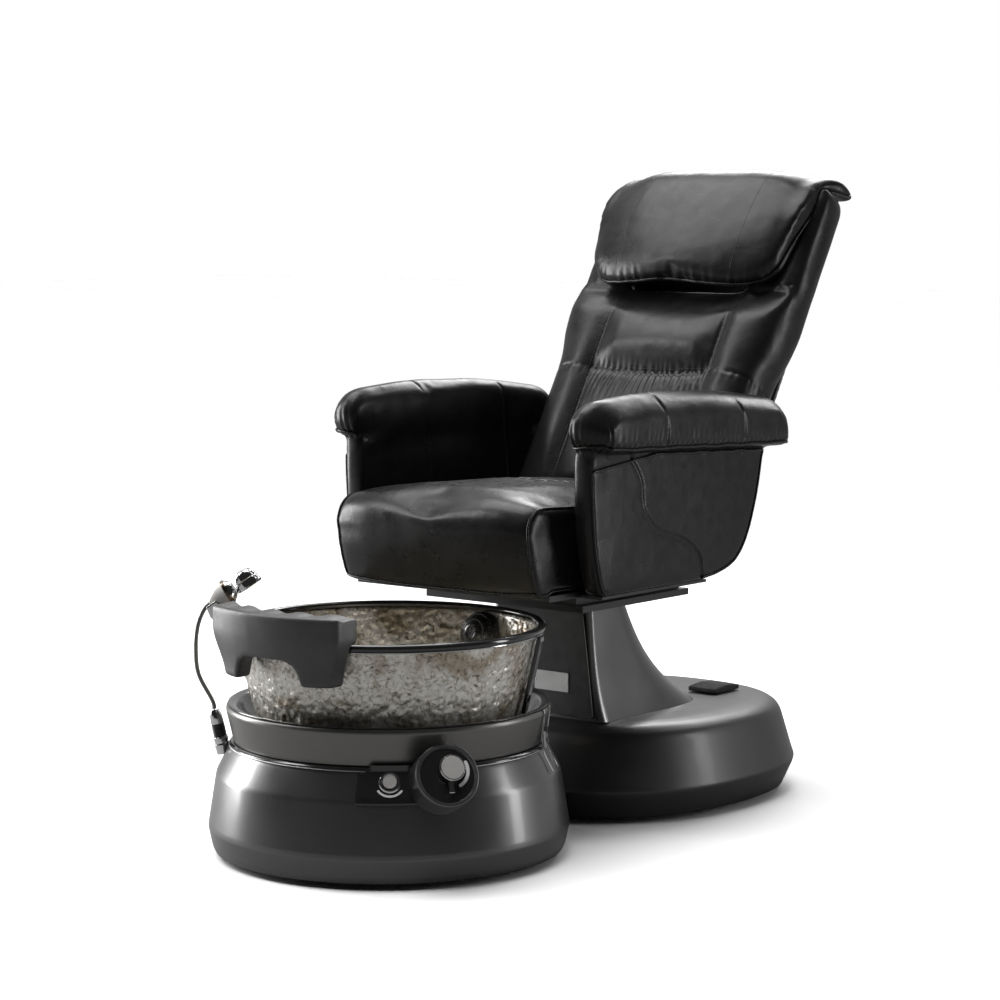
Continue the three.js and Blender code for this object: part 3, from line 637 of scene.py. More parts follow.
def make_studio():
    make_world()
    make_floor_wash()
    chair = (0, 0.1, 0.6)
    make_light("top", (-0.9, 0.2, 3.2), chair, (2.0, 2.0), 50)
    make_light("rear", (-0.8, 3.2, 2.9), chair, (3.0, 1.4), 100)
    make_light("left", (-3.2, -1.15, 1.05), (0, -0.1, 0.5), (1.2, 2.1), 95)
    make_light("front_left", (-2.2, -1.6, 2.9), chair, (0.9, 1.2), 26)
    make_light("right", (2.9, 1.8, 1.0), (0, -0.1, 0.5), (0.6, 2.0), 26)
    scene.view_settings.view_transform = "Standard"


# ------------------------------------------------------------------------------------------
# The sprayer's hose

SPRAYER_BEARING = math.radians(-141)
GUIDE_PLACE = (0.314, 0.188)
GUIDE_SLOPE = math.radians(78)
HOSE_RADIUS = 0.0042


def hose_line():
    along = (math.cos(GUIDE_SLOPE), math.sin(GUIDE_SLOPE))
    free = [(0.3384, 0.4756), (0.350, 0.463), (0.362, 0.432), (0.366, 0.388), (0.361, 0.340)]
    guided = [(GUIDE_PLACE[0] + t * along[0], GUIDE_PLACE[1] + t * along[1])
              for t in (0.104, 0.084, 0.064, 0.044)]
    return [polar(r, SPRAYER_BEARING, z) for r, z in free + guided]


def make_hose():
    line = resampled(curve_through(hose_line(), 12), 0.0022)

    def braid(share):
        return HOSE_RADIUS * (1 - 0.05 * (1 + math.cos(share * len(line) * math.pi)) / 2)
    hose = tube("shower_hose", line, braid, BRAID, sides=14)
    path = resampled(line, 0.008)
    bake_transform(hose)
    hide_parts("sprayer_hose")


# ------------------------------------------------------------------------------------------

NODE_FINISH = {
    "leather": LEATHER, "gunmetal": GUNMETAL, "satin_grey": SATIN_GREY, "black_plastic": BLACK_PLASTIC,
    "grey_plastic": GREY_PLASTIC, "chrome": CHROME, "hammered_glass": HAMMERED, "steel": STEEL,
    "rubber": RUBBER, "pad": PAD_GREY,
}


def dress_nodes():
    """Gives each CAD node the finish that its material slot names."""
    for row in frame["record"]["subparts"]:
        node = NODES[row["node"]]
        node.data.materials.clear()
        node.data.materials.append(NODE_FINISH[row["material_slot"]])


# ------------------------------------------------------------------------------------------
# Footbath

SHOULDER_ROWS = [(0.328, 0.160, 0.006), (0.323, 0.170, 0.006)]
SHELL_PROFILE = [
    (0.330, 0.012), (0.332, 0.012, 0.002), (0.337, 0.022, 0.006), (0.344, 0.056, 0.003),
    (0.343, 0.066, 0.002),
    *SHOULDER_ROWS, (0.304, 0.206, 0.006), (0.301, 0.211, 0.002), (0.294, 0.211),
]
COLLAR_PROFILE = [
    (0.287, 0.219), (0.295, 0.219, 0.003), (0.309, 0.281, 0.004), (0.307, 0.288, 0.004),
    (0.3005, 0.290, 0.003),
    (0.291, 0.287, 0.004), (0.285, 0.262, 0.01), (0.283, 0.226),
]
TRIM_PROFILE = [(0.285, 0.2113), (0.303, 0.2113, 0.0015), (0.303, 0.215, 0.0015), (0.299, 0.2186),
                (0.285, 0.2186)]


def profile(corners, closed=True, steps=6):
    return [tuple(p) for p in rounded(corners, 0.001, steps, closed)]


def make_bath_body():
    shell = turned("bath_shell_skin", profile(SHELL_PROFILE), GUNMETAL)
    stand_for(shell, "base", "gunmetal", "bath_shell")
    collar = turned("bath_collar_skin", profile(COLLAR_PROFILE), SATIN_GREY)
    stand_for(collar, "base", "satin_grey", "bath_collar")
    trim = turned("bath_trim_skin", profile(TRIM_PROFILE), GLOSS_BLACK)
    stand_for(trim, "base", "black_plastic", "bath_trim_ring")
    bead = [polar(0.3036, 2 * math.pi * i / 240, 0.2122) for i in range(240)]
    stand_for(tube("bath_trim_bead", bead, 0.0009, SATIN_CHROME, sides=8, closed=True), "base", "chrome")
    recess = [(0.3025, 0.2898), (0.3058, 0.2902, 0.001), (0.3045, 0.2924, 0.001), (0.2985, 0.2918, 0.003),
              (0.2890, 0.2885, 0.003), (0.2805, 0.2700, 0.008), (0.262, 0.246, 0.006), (0.240, 0.238)]
    lining = turned("bath_recess_lining", profile(recess + [(0.240, 0.234), (0.279, 0.240)]), GLOSS_BLACK)
    stand_for(lining, "base", "black_plastic", "bath_groove_ring")


def hammered(point, size):
    """Height of the hammered face at a point: rounded facets with sharp valleys between them."""
    bent = point + noise.noise_vector(point * 30) * 0.008
    near, after = noise.voronoi(bent / size)[0][:2]
    return min(1.0, (after - near) * 1.6) + 0.35 * noise.noise(point * 140)


def make_bowl():
    """The hammered glass bowl, its smoked rim and the bead under the rim."""
    outer = [(0.262, 0.302), (0.283, 0.385), (0.2925, 0.4285)]
    low_outer = [(0.150, 0.196), (0.222, 0.220, 0.03), (0.250, 0.255, 0.03)]
    inner = [(0.2845, 0.4285), (0.275, 0.385), (0.254, 0.300, 0.03), (0.242, 0.258, 0.03),
             (0.217, 0.229, 0.03),
             (0.148, 0.205, 0.02), (0.036, 0.2042)]
    corners = [(0.036, 0.1965), *low_outer, *outer, *inner]
    line = [Vector((r, z, 0)) for r, z in profile(corners)]
    rows = [(p.x, p.y) for p in resampled(line, 0.0042)]
    steps = 400
    centre_line = 0.2885
    rings = []
    for i in range(steps):
        angle = 2 * math.pi * i / steps
        ring = []
        for r, z in rows:
            spot = Vector((r * math.cos(angle), r * math.sin(angle), z))
            fade = smooth_step(r, 0.05, 0.12) * (1 - smooth_step(z, 0.418, 0.427))
            lump = (hammered(spot, 0.021) - 0.5) * 0.0022 * fade
            inside = z > 0.204 and r < centre_line - (0.4285 - z) * 0.245
            push = -lump if inside else lump
            ring.append(BATH + Vector(((r + push) * math.cos(angle), (r + push) * math.sin(angle), z)))
        rings.append(ring)
    bowl = loft("hammered_bowl", rings, HAMMERED, closed=True)
    stand_for(bowl, "base", "hammered_glass", "bowl")
    rim = [(0.2835, 0.4292, 0.003), (0.2985, 0.4272, 0.004), (0.3012, 0.433, 0.004), (0.299, 0.4395, 0.005),
           (0.291, 0.4418, 0.006), (0.283, 0.4385, 0.004)]
    stand_for(turned("bowl_rim_glass", profile(rim), SMOKED), "base", "black_plastic", "bowl_rim")
    bead = [polar(0.2965, 2 * math.pi * i / 240, 0.4262) for i in range(240)]
    stand_for(tube("bowl_rim_bead", bead, 0.0016, CHROME, sides=8, closed=True), "base", "chrome")



def soft_copy(name, material, sources, voxel, relax=6, reshape=None):
    """One closed mesh of CAD solids, remeshed evenly and relaxed, for a piece with eased edges."""
    editable = bmesh.new()
    for source in sources:
        editable.from_mesh(source.data if hasattr(source, "data") else source)
    mesh = bpy.data.meshes.new(name)
    bmesh.ops.remove_doubles(editable, verts=editable.verts, dist=1e-6)
    editable.to_mesh(mesh)
    editable.free()
    piece = put(name, mesh, material)
    modifier(piece, "REMESH", mode="VOXEL", voxel_size=voxel, use_smooth_shade=True)
    applied(piece)
    if reshape:
        for vertex in piece.data.vertices:
            vertex.co = reshape(vertex.co.copy())
    modifier(piece, "SMOOTH", factor=0.6, iterations=relax)
    applied(piece)
    piece.data.materials.clear()
    piece.data.materials.append(material)
    return piece


def make_footrest():
    """The foam pad: ribbed on top, its apron bowed round the rim and drawn in at its lower corners."""
    lowest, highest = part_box("footrest_pad")
    half, tall = highest.x, highest.z - lowest.z
    bow, forward, taper = 0.017, 0.008, 0.16

    def bowed(p):
        across = p.x / half
        low_share = smooth_step(highest.z - p.z, tall * 0.30, tall)
        x = p.x * (1 - taper * low_share * abs(across) ** 2)
        return Vector((x, p.y - forward + (bow + forward) * across ** 2 + 0.008 * low_share, p.z))
    pad = soft_copy("footrest_foam", PAD_GREY, [NODES["footrest_pad"]], 0.0026, relax=4)
    for vertex in pad.data.vertices:
        vertex.co = bowed(vertex.co)
    for vertex in pad.data.vertices:
        p = vertex.co
        on_top = smooth_step(p.z, highest.z - 0.012, highest.z - 0.004)
        edge = lowest.y + 0.008 - forward + (bow + forward) * (p.x / half) ** 2
        inward = smooth_step(p.y, edge + 0.008, edge + 0.016)
        rib = 0.5 + 0.5 * math.cos(2 * math.pi * (p.x / half + 0.1) / 0.42)
        p.z -= 0.0055 * on_top * inward * (1 - rib) ** 1.4
    modifier(pad, "SMOOTH", factor=0.6, iterations=14)
    stand_for(applied(pad), "footrest", "pad", "footrest_pad")


BUTTON_AXIS = -Vector(JOINTS["button_press"]["axis"])
BUTTON_FOOT = middle("push_button") - BUTTON_AXIS * 0.0069
CRESCENT_RADII = (0.0245, 0.0285)
CRESCENT_ARC = (math.radians(-142), math.radians(-38))
VALVE_AXIS = Vector(JOINTS["valve_turn"]["axis"])
VALVE_PLACE = Vector(JOINTS["valve_turn"]["pos_m"])
KNOB_OFFSET = Vector((0.006, 0.010, 0))
POD_TOP = 0.262


def arc_patch(name, inner, outer, start, end, thickness, material, matrix, steps=24):
    """A flat crescent with round ends, in a frame's XY plane."""
    centre_radius = (inner + outer) / 2
    half = (outer - inner) / 2
    angles = [start + (end - start) * i / steps for i in range(steps + 1)]
    edge = [Vector((outer * math.cos(a), outer * math.sin(a))) for a in angles]
    tip = Vector((centre_radius * math.cos(end), centre_radius * math.sin(end)))
    edge += [tip + Vector((half * math.cos(end + a), half * math.sin(end + a)))
             for a in (math.pi * k / 8 for k in range(1, 8))]
    edge += [Vector((inner * math.cos(a), inner * math.sin(a))) for a in reversed(angles)]
    tail = Vector((centre_radius * math.cos(start), centre_radius * math.sin(start)))
    edge += [tail + Vector((half * math.cos(start + a), half * math.sin(start + a)))
             for a in (math.pi * (1 + k / 8) for k in range(1, 8))]
    rings = [[p.to_3d() + Vector((0, 0, z)) for p in edge] for z in (0, thickness)]
    return placed(loft(name, rings, material, smooth=False), matrix)


def make_bath_fittings():
    """Drain, jet, the bowl's bracket and clips, and all the levelling feet."""
    drain = [(0.013, 0.176), (0.024, 0.176), (0.024, 0.190), (0.0315, 0.190), (0.0315, 0.2046),
             (0.042, 0.2046, 0.001),
             (0.0415, 0.2065, 0.001), (0.036, 0.2086, 0.002), (0.015, 0.2066, 0.001), (0.013, 0.203, 0.001)]
    stand_for(turned("drain_ring", profile(drain), CHROME), "base", "chrome", "drain_flange")
    stopper = [(0.0001, 0.185), (0.009, 0.185), (0.009, 0.209, 0.001), (0.027, 0.210, 0.001),
               (0.028, 0.2125, 0.001),
               (0.020, 0.2162, 0.004), (0.0001, 0.217)]
    stand_for(turned("drain_plug", profile(stopper), CHROME), "drain_stopper", "chrome", "drain_stopper")
    jet = middle("jet_housing") - BATH
    bearing, slope = math.atan2(jet.y, jet.x), math.radians(14)
    inward = inward_and_up(bearing, slope)
    dome = [(0.0001, 0.0), (0.044, 0.0), (0.0462, 0.004, 0.002), (0.044, 0.014, 0.006),
            (0.040, 0.0205, 0.001),
            (0.0375, 0.0200, 0.001), (0.034, 0.027, 0.004), (0.028, 0.0315, 0.001), (0.0255, 0.0305, 0.001),
            (0.018, 0.036, 0.004), (0.012, 0.0372, 0.001), (0.0095, 0.0352, 0.001), (0.0001, 0.0352)]
    cover = turned_at("jet_cover", profile(dome), SPECKLED, facing(polar(0.269, bearing, 0.385), inward),
                      steps=96)
    stand_for(cover, "base", "black_plastic", "jet_housing")
    strut = soft_copy("bowl_strut", GLOSS_BLACK, [NODES["bowl_bracket"]], 0.0016, 3)
    stand_for(strut, "base", "black_plastic", "bowl_bracket")
    for k, bearing in enumerate((math.radians(21), math.radians(29))):
        strip = [(0.3005, 0.2912), (0.3085, 0.2895), (0.3104, 0.281), (0.3048, 0.2320), (0.3072, 0.2140),
                 (0.3110, 0.2010), (0.3265, 0.1730)]
        stand_for(ribbon(f"bowl_clip_{k + 1}", strip, bearing, 0.005, 0.0012, CHROME), "base", "chrome")
    stand_for(ribbon("bowl_clip_plate", [(0.3040, 0.2440), (0.3052, 0.2260), (0.3068, 0.2130)],
                     math.radians(24), 0.016,
                     0.003, GREY_PLASTIC), "base", "grey_plastic")
    for name, spot in [(n, middle(n)) for n in NODES if n.startswith(("bath_foot", "base_foot"))]:
        top = high(name).z
        foot = [(0.0001, 0.0), (0.0165, 0.0, 0.001), (0.018, 0.003, 0.001), (0.0115, 0.0062, 0.001),
                (0.0105, 0.0075, 0.0005), (0.0112, top, 0.0004), (0.0001, top)]
        pad = turned(name + "_pad", profile(foot), RUBBER, Vector((spot.x, spot.y, 0)), steps=40)
        stand_for(pad, "base", "rubber", name)


def ribbon(name, rows, bearing, width, thickness, material):
    """A bent strip that follows the outside of the footbath on a bearing."""
    line = [tuple(p) for p in rounded([(*row, 0.004) for row in rows], 0.004, 4, closed=False)]
    rings = []
    side = Vector((-math.sin(bearing), math.cos(bearing), 0)) * (width / 2)
    for r, z in line:
        face, back_ = polar(r + thickness / 2, bearing, z), polar(r - thickness / 2, bearing, z)
        rings.append([face - side, face + side, back_ + side, back_ - side])
    return sharpened(loft(name, rings, material), 40)


def make_sprayer():
    """The hand sprayer, its holder, the hose guide and the stop valve."""
    bearing, slope = SPRAYER_BEARING, math.radians(33)
    axis = inward_and_up(bearing, slope)
    place = facing(polar(0.337, bearing, 0.477), axis)
    grip = [(0.0001, 0.0), (0.0078, 0.0, 0.0008), (0.0092, 0.0022, 0.001), (0.0148, 0.008, 0.004),
            (0.021, 0.018, 0.006),
            (0.0239, 0.030, 0.004), (0.0240, 0.0352, 0.0006), (0.0232, 0.036, 0.0003), (0.0001, 0.036)]
    stand_for(turned_at("sprayer_barrel", profile(grip), PEARL, place, 80), "sprayer", "grey_plastic",
              "sprayer_grip")
    band = [(0.0001, 0.0363), (0.0238, 0.0363, 0.0003), (0.0246, 0.0370, 0.0005), (0.0246, 0.0388, 0.0004),
            (0.0239, 0.0391, 0.0003), (0.0239, 0.0397, 0.0003), (0.0246, 0.0400, 0.0004),
            (0.0243, 0.0418, 0.0005),
            (0.0230, 0.042, 0.0003), (0.0001, 0.042)]
    stand_for(turned_at("sprayer_collar", profile(band), GILT, place, 80), "sprayer", "black_plastic",
              "sprayer_band")
    neck = [(0.0001, 0.0423), (0.0216, 0.0423, 0.0005), (0.0222, 0.0432, 0.0005), (0.0185, 0.0482, 0.003),
            (0.0135, 0.0528, 0.002), (0.0001, 0.0535)]
    stand_for(turned_at("sprayer_cone", profile(neck), CHROME, place, 80), "sprayer", "chrome",
              "sprayer_neck")
    turned_down = place @ Matrix.Translation((0, 0, 0.080)) @ Matrix.Rotation(math.pi / 2, 4, "X")
    body = [(0.0001, -0.0200), (0.0135, -0.0188, 0.002), (0.0205, -0.0120, 0.004), (0.0236, -0.0030, 0.001),
            (0.0226, -0.0016, 0.0005), (0.0236, -0.0002, 0.0005), (0.0255, 0.0050, 0.002),
            (0.0266, 0.0105, 0.001),
            (0.0266, 0.0135, 0.0008), (0.0250, 0.0148, 0.0006), (0.0230, 0.0138, 0.0006), (0.0001, 0.0138)]
    flutes = 12

    def fluted(angle, r, z):
        on_grip = (r > 0.019) * (z < 0.009)
        return -0.0009 * (0.5 + 0.5 * math.cos(flutes * angle)) * on_grip
    head = turned("head_body", profile(body), CHROME, Vector(), 144, fluted)
    parts = [placed(head, turned_down)]
    for ring_radius, count in ((0.0185, 12), (0.0105, 7)):
        for k in range(count):
            angle = 2 * math.pi * k / count
            spot = Matrix.Translation((ring_radius * math.cos(angle), ring_radius * math.sin(angle), 0.0138))
            nozzle = [(0.0001, -0.001), (0.0017, -0.001), (0.0014, 0.0010, 0.0003), (0.0001, 0.0012)]
            parts.append(turned_at(f"nozzle_{count}_{k}", profile(nozzle), RUBBER, turned_down @ spot, 12))
    stand_for(joined("sprayer_head_face", parts), "sprayer", "chrome", "sprayer_head")
    saddle = soft_copy("sprayer_saddle", CHROME, [NODES["sprayer_holder"]], 0.0015, 4)
    stand_for(saddle, "base", "chrome", "sprayer_holder")

    leaning = Vector((math.cos(bearing) * math.cos(GUIDE_SLOPE), math.sin(bearing) * math.cos(GUIDE_SLOPE),
                      math.sin(GUIDE_SLOPE)))
    guide_place = facing(polar(GUIDE_PLACE[0], bearing, GUIDE_PLACE[1]), leaning)
    low_part = [(0.0052, 0.0), (0.0138, 0.0), (0.0140, 0.018, 0.001), (0.0132, 0.0205, 0.001),
                (0.0132, 0.026, 0.001),
                (0.0140, 0.028, 0.001), (0.0136, 0.033, 0.001), (0.0052, 0.033)]
    ribs = [(0.0052, 0.0332)]
    for k in range(6):
        ribs += [(0.0131, 0.0340 + k * 0.004, 0.0006), (0.0120, 0.0362 + k * 0.004, 0.0006)]
    ribs += [(0.0125, 0.0585), (0.0052, 0.0585)]
    tip = [(0.0052, 0.0587), (0.0124, 0.0587, 0.0008), (0.0121, 0.070, 0.002), (0.0109, 0.078, 0.003),
           (0.0080, 0.0862, 0.002), (0.0052, 0.088)]
    pieces = [turned_at("g1", profile(low_part), CHROME, guide_place, 64),
              turned_at("g2", profile(ribs), BLACK_PLASTIC, guide_place, 64),
              turned_at("g3", profile(tip), CHROME, guide_place, 64)]
    stand_for(joined("hose_gland", pieces), "base", "chrome", "hose_guide")

    stop_axis = Vector(JOINTS["stop_valve_turn"]["axis"])
    stop = facing(Vector(JOINTS["stop_valve_turn"]["pos_m"]), stop_axis)
    body = [(0.0001, -0.012), (0.0072, -0.012), (0.0072, 0.002, 0.0006), (0.0062, 0.003, 0.0005),
            (0.0062, 0.005, 0.0005),
            (0.0072, 0.006, 0.0006), (0.0072, 0.0134, 0.0008), (0.0001, 0.014)]
    stand_for(turned_at("stop_valve_barrel", profile(body), CHROME, stop, 48), "base", "chrome",
              "stop_valve_body")
    outline = rounded([(-0.0078, -0.0068), (0.0078, -0.0068), (0.0058, 0.0155), (-0.0058, 0.0155)], 0.004)
    lever = slab("stop_valve_tab", outline, 0.0056, GREY_PLASTIC, stop @ Matrix.Translation((0, 0, 0.0143)),
                 0.001)
    stand_for(lever, "stop_valve_lever", "grey_plastic", "stop_valve_lever")


# ------------------------------------------------------------------------------------------
# Chair base and pedestal

BASE_POWER = 2.4


def squared_plan(angle, radius, centre, stretch):
    """A point of the base's long plan, which is squarer than an ellipse."""
    def squared(value):
        return math.copysign(abs(value) ** (2 / BASE_POWER), value)
    return centre + Vector((radius * squared(math.cos(angle)), radius * squared(math.sin(angle)) * stretch,
                            0))


def make_chair_base():
    """The long rounded base: a squared oval swept up a stepped profile to its deck."""
    lowest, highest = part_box("base_shell")
    centre = Vector(((lowest.x + highest.x) / 2, (lowest.y + highest.y) / 2, 0))
    half, deck = highest.x, highest.z
    stretch = (highest.y - lowest.y) / 2 / half
    corners = [(half - 0.029, 0.012), (half - 0.022, 0.012, 0.002), (half - 0.003, 0.058, 0.006),
               (half, 0.068, 0.006),
               (half - 0.004, 0.080, 0.006), (half - 0.026, deck - 0.032, 0.016),
               (half - 0.033, deck - 0.018, 0.012),
               (half - 0.049, deck - 0.005, 0.014), (half - 0.075, deck, 0.012), (0.10, deck), (0.02, deck)]
    rows = profile(corners, closed=False, steps=7)
    rings = []
    for r, z in rows:
        rings.append([squared_plan(2 * math.pi * k / 288, r, centre,
                                   stretch) + Vector((0, 0, z)) for k in range(288)])
    # The base wears the darker copy of the gunmetal paint, whose lower tone is painted shade.
    stand_for(loft("base_shell_skin", rings, GUNMETAL_SHADED), "base", "gunmetal", "base_shell")


def make_pedestal():
    """The flared column, its front panel with the blank plate, and the foot pedal."""
    lowest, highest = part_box("pedestal")
    panel_low, panel_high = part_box("pedestal_panel")
    half, depth, front = 0.122, 0.140, panel_high.y + 0.0003
    outline = rounded([(-half, 0, 0.010), (half, 0, 0.010), (half, depth, 0.055), (-half, depth, 0.055)],
                      0.01, 10)
    levels = 40
    rings = []
    for i in range(levels + 1):
        t = i / levels
        z = highest.z + (lowest.z - highest.z) * t
        wide = 1 + 0.12 * t + 0.16 * t ** 4
        deep = 1 + 0.9 * t + 0.75 * t ** 3
        rings.append([Vector((p.x * wide, front + p.y * deep, z)) for p in outline])
    body = sharpened(loft("pedestal_column", rings, GUNMETAL), 60)
    stand_for(body, "base", "gunmetal", "pedestal")
    face = facing(Vector((0, panel_high.y, 0)), Vector((0, -1, 0)))
    w = panel_high.x
    outline = rounded([(-w, panel_low.z), (w, panel_low.z), (w * 0.787, panel_high.z),
                       (-w * 0.787, panel_high.z)], 0.006)
    panel = slab("pedestal_front", outline, panel_high.y - panel_low.y, SATIN_BLACK, face, 0.0012)
    stand_for(panel, "base", "black_plastic", "pedestal_panel")
    plate_low, plate_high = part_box("rating_plate")
    outline = rounded([(plate_low.x, plate_low.z), (plate_high.x, plate_low.z), (plate_high.x, plate_high.z),
                       (plate_low.x, plate_high.z)], 0.003)
    plate = slab("blank_plate", outline, 0.0014, LABEL,
                 facing(Vector((0, plate_high.y, 0)), Vector((0, -1, 0))), 0.0003)
    rivets = []
    for k, x in enumerate((plate_low.x + 0.004, plate_high.x - 0.004)):
        spot = facing(Vector((x, plate_low.y + 0.0002, middle("rating_plate").z)), Vector((0, -1, 0)))
        head = [(0.0001, -0.0004), (0.0016, -0.0004), (0.0013, 0.0006, 0.0004), (0.0001, 0.0009)]
        rivets.append(turned_at(f"rivet_{k}", profile(head), CHROME, spot, 16))
    stand_for(joined("blank_plate_riveted", [plate, *rivets]), "base", "grey_plastic", "rating_plate")
    pedal = soft_copy("pedal_tread", RUBBER, [NODES["foot_pedal"]], 0.0016, 4)
    top = high("foot_pedal").z
    for vertex in pedal.data.vertices:
        on_top = smooth_step(vertex.co.z, top - 0.006, top - 0.004)
        vertex.co.z += 0.0009 * on_top * math.sin(vertex.co.y * 2 * math.pi / 0.009)
    stand_for(pedal, "foot_pedal", "rubber", "foot_pedal")


def soften_metalwork():
    """Eases the edges of the plates and rails that stay as CAD made them."""
    for name in ("mount_plate", "slide_rail_left", "slide_rail_right", "seat_pan", "recline_bracket_left",
                 "recline_bracket_right", "link_plate", "bath_pan", "base_pan"):
        modifier(NODES[name], "BEVEL", width=0.0012, segments=2, limit_method="ANGLE")


def make_back_shell():
    """The moulded rear shell with its grooved frame line and four screw caps."""
    rear = 0.0963
    half = high("back_shell").x

    def crowned(p):
        q = in_back(p)
        behind = smooth_step(q.y, rear + 0.002, rear + 0.008)
        across = max(0.0, 1 - (q.x / half) ** 4)
        along = smooth_step(q.z, -0.02, 0.08) * (1 - smooth_step(q.z, 0.64, 0.75))
        return on_back(q.x, q.y + 0.009 * behind * across * along, q.z)
    shell = soft_copy("back_shell_moulding", SHELL_GREY, [NODES["back_shell"]], 0.0032, 4)
    for vertex in shell.data.vertices:
        vertex.co = crowned(vertex.co)
        q = in_back(vertex.co)
        frame_line = max(abs(q.x) / (half - 0.045), abs(q.z - 0.35) / 0.30)
        groove = math.exp(-((frame_line - 1) / 0.018) ** 2)
        if q.y > rear + 0.004:
            vertex.co += leaned(0, -0.0022 * groove, 0)
    modifier(shell, "SMOOTH", factor=0.5, iterations=2)
    applied(shell)
    stand_for(shell, "back", "grey_plastic", "back_shell")
    caps = []
    for side in (-1, 1):
        for u in (0.10, 0.62):
            spot = on_back(side * (half - 0.022), rear + 0.0105, u)
            head = [(0.0001, -0.004), (0.007, -0.004), (0.007, 0.0010, 0.001), (0.0055, 0.0028, 0.001),
                    (0.0001, 0.0034)]
            caps.append(turned_at(f"cap_{side}_{u}", profile(head), BLACK_PLASTIC,
                                  facing(spot, leaned(0, 1, 0)), 32))
    stand_for(joined("back_shell_caps", caps), "back", "black_plastic")


def make_button():
    """The air button and its ring; the disc clears the panel when it is pressed."""
    frame_ = facing(BUTTON_FOOT, BUTTON_AXIS)
    bezel = [(0.0135, -0.004), (0.021, -0.004, 0.001), (0.021, 0.0045, 0.002), (0.0182, 0.0076, 0.002),
             (0.0152, 0.0076, 0.001), (0.0135, 0.0055, 0.001)]
    stand_for(turned_at("button_ring", profile(bezel), CHROME, frame_), "base", "chrome", "button_bezel")
    cap = [(0.0001, 0.0076), (0.013, 0.0076, 0.0003), (0.013, 0.0088, 0.0006), (0.0115, 0.0102, 0.0008),
           (0.0102, 0.0094, 0.0006), (0.0001, 0.0100)]
    button = turned_at("push_button_cap", profile(cap), DISC_METAL, frame_)
    stand_for(button, "push_button", "grey_plastic", "push_button")


def make_control_panel():
    """The black panel that carries the button, laid over the shoulder between the collar and the ridge."""
    rows = [(0.3055, 0.2240), (0.3050, 0.2120), (0.3075, 0.2045), (0.3275, 0.1700), (0.3302, 0.1590),
            (0.3300, 0.1560)]
    rows = [tuple(p) for p in rounded([(*row, 0.004) for row in rows], 0.004, 4, closed=False)]
    start, end = math.radians(-59.5), math.radians(-35)
    count = 40
    rings = []
    for k in range(count + 1):
        ring_out, ring_in = [], []
        for i, (r, z) in enumerate(rows):
            share = i / (len(rows) - 1)
            left = start + math.radians(4.5) * (1 - smooth_step(share, 0, 0.32))
            bearing = left + (end - left) * k / count
            lift = 0.0 if k else -0.0015
            ring_out.append(polar(r + 0.0006 + lift, bearing, z))
            ring_in.append(polar(r - 0.004, bearing, z - 0.001))
        rings.append(ring_out + ring_in[::-1])
    panel = loft("control_panel", rings, GLOSS_BLACK)
    mark = arc_patch("button_mark", *CRESCENT_RADII, *CRESCENT_ARC, 0.0006, LABEL,
                     facing(BUTTON_FOOT, BUTTON_AXIS))
    laid_on(mark, panel, BUTTON_AXIS, 0.0004, 0.0010)
    stand_for(mark, "base", "grey_plastic")
    stand_for(sharpened(panel, 40), "base", "black_plastic")


def cut_above(piece, height):
    """Takes off what is above a height and closes the cut."""
    editable = bmesh.new()
    editable.from_mesh(piece.data)
    everything = editable.verts[:] + editable.edges[:] + editable.faces[:]
    cut = bmesh.ops.bisect_plane(editable, geom=everything, plane_co=(0, 0, height), plane_no=(0, 0, 1),
                                 clear_outer=True)
    edges = [item for item in cut["geom_cut"] if isinstance(item, bmesh.types.BMEdge)]
    bmesh.ops.triangle_fill(editable, edges=edges, use_beauty=True)
    bmesh.ops.recalc_face_normals(editable, faces=editable.faces)
    editable.to_mesh(piece.data)
    editable.free()
    return piece


def make_valve():
    """The pod, its dark dish and scale, and the knob with its lever."""
    barrel = [(0.0001, -0.055), (0.0585, -0.055), (0.0592, -0.012, 0.004), (0.0592, 0.0005, 0.003),
              (0.0565, 0.0040, 0.002), (0.0530, 0.0035, 0.002), (0.0505, -0.0005, 0.004), (0.0001, -0.0015)]
    place = facing(pod_centre(), VALVE_AXIS)
    pod = cut_above(turned_at("valve_pod_shell", profile(barrel), GUNMETAL, place, steps=96), POD_TOP)
    stand_for(sharpened(pod, 40), "base", "gunmetal", "valve_pod")
    dish = [(0.0001, -0.0012), (0.0502, -0.0004), (0.0500, 0.0002), (0.0001, -0.0002)]
    plate = cut_above(turned_at("valve_dish", profile(dish), GLOSS_BLACK, place, steps=96), POD_TOP - 0.0012)
    stand_for(sharpened(plate, 40), "base", "black_plastic", "valve_plate")
    scale = facing(knob_foot() + VALVE_AXIS * 0.0003, VALVE_AXIS)
    mark = arc_patch("valve_scale", 0.0305, 0.0365, math.radians(-62), math.radians(22), 0.0006, LABEL, scale)
    stand_for(mark, "base", "grey_plastic")
    knob = [(0.0001, 0.0032), (0.011, 0.0032), (0.011, 0.007), (0.0236, 0.007, 0.001),
            (0.0242, 0.0095, 0.001),
            (0.0242, 0.0165, 0.0012), (0.0226, 0.0185, 0.001), (0.0214, 0.0180, 0.0006), (0.0001, 0.0184)]
    rim = turned_at("knob", profile(knob), CHROME, scale, steps=96)
    top = [(0.0001, 0.0181), (0.0212, 0.0181), (0.0208, 0.0187, 0.0003), (0.0001, 0.0188)]
    disc = turned_at("knob_top", profile(top), DISC_METAL, scale, steps=96)
    outline = rounded([(-0.0052, -0.0446), (0.0052, -0.0446), (0.0038, -0.018), (-0.0038, -0.018)], 0.002)
    lever = slab("lever", outline, 0.006, CHROME, scale @ Matrix.Translation((-0.006, -0.001, 0.0095)),
                 0.0012)
    handle = joined("valve_knob", [rim, disc, lever])
    stand_for(handle, "valve_handle", "chrome", "valve_handle")


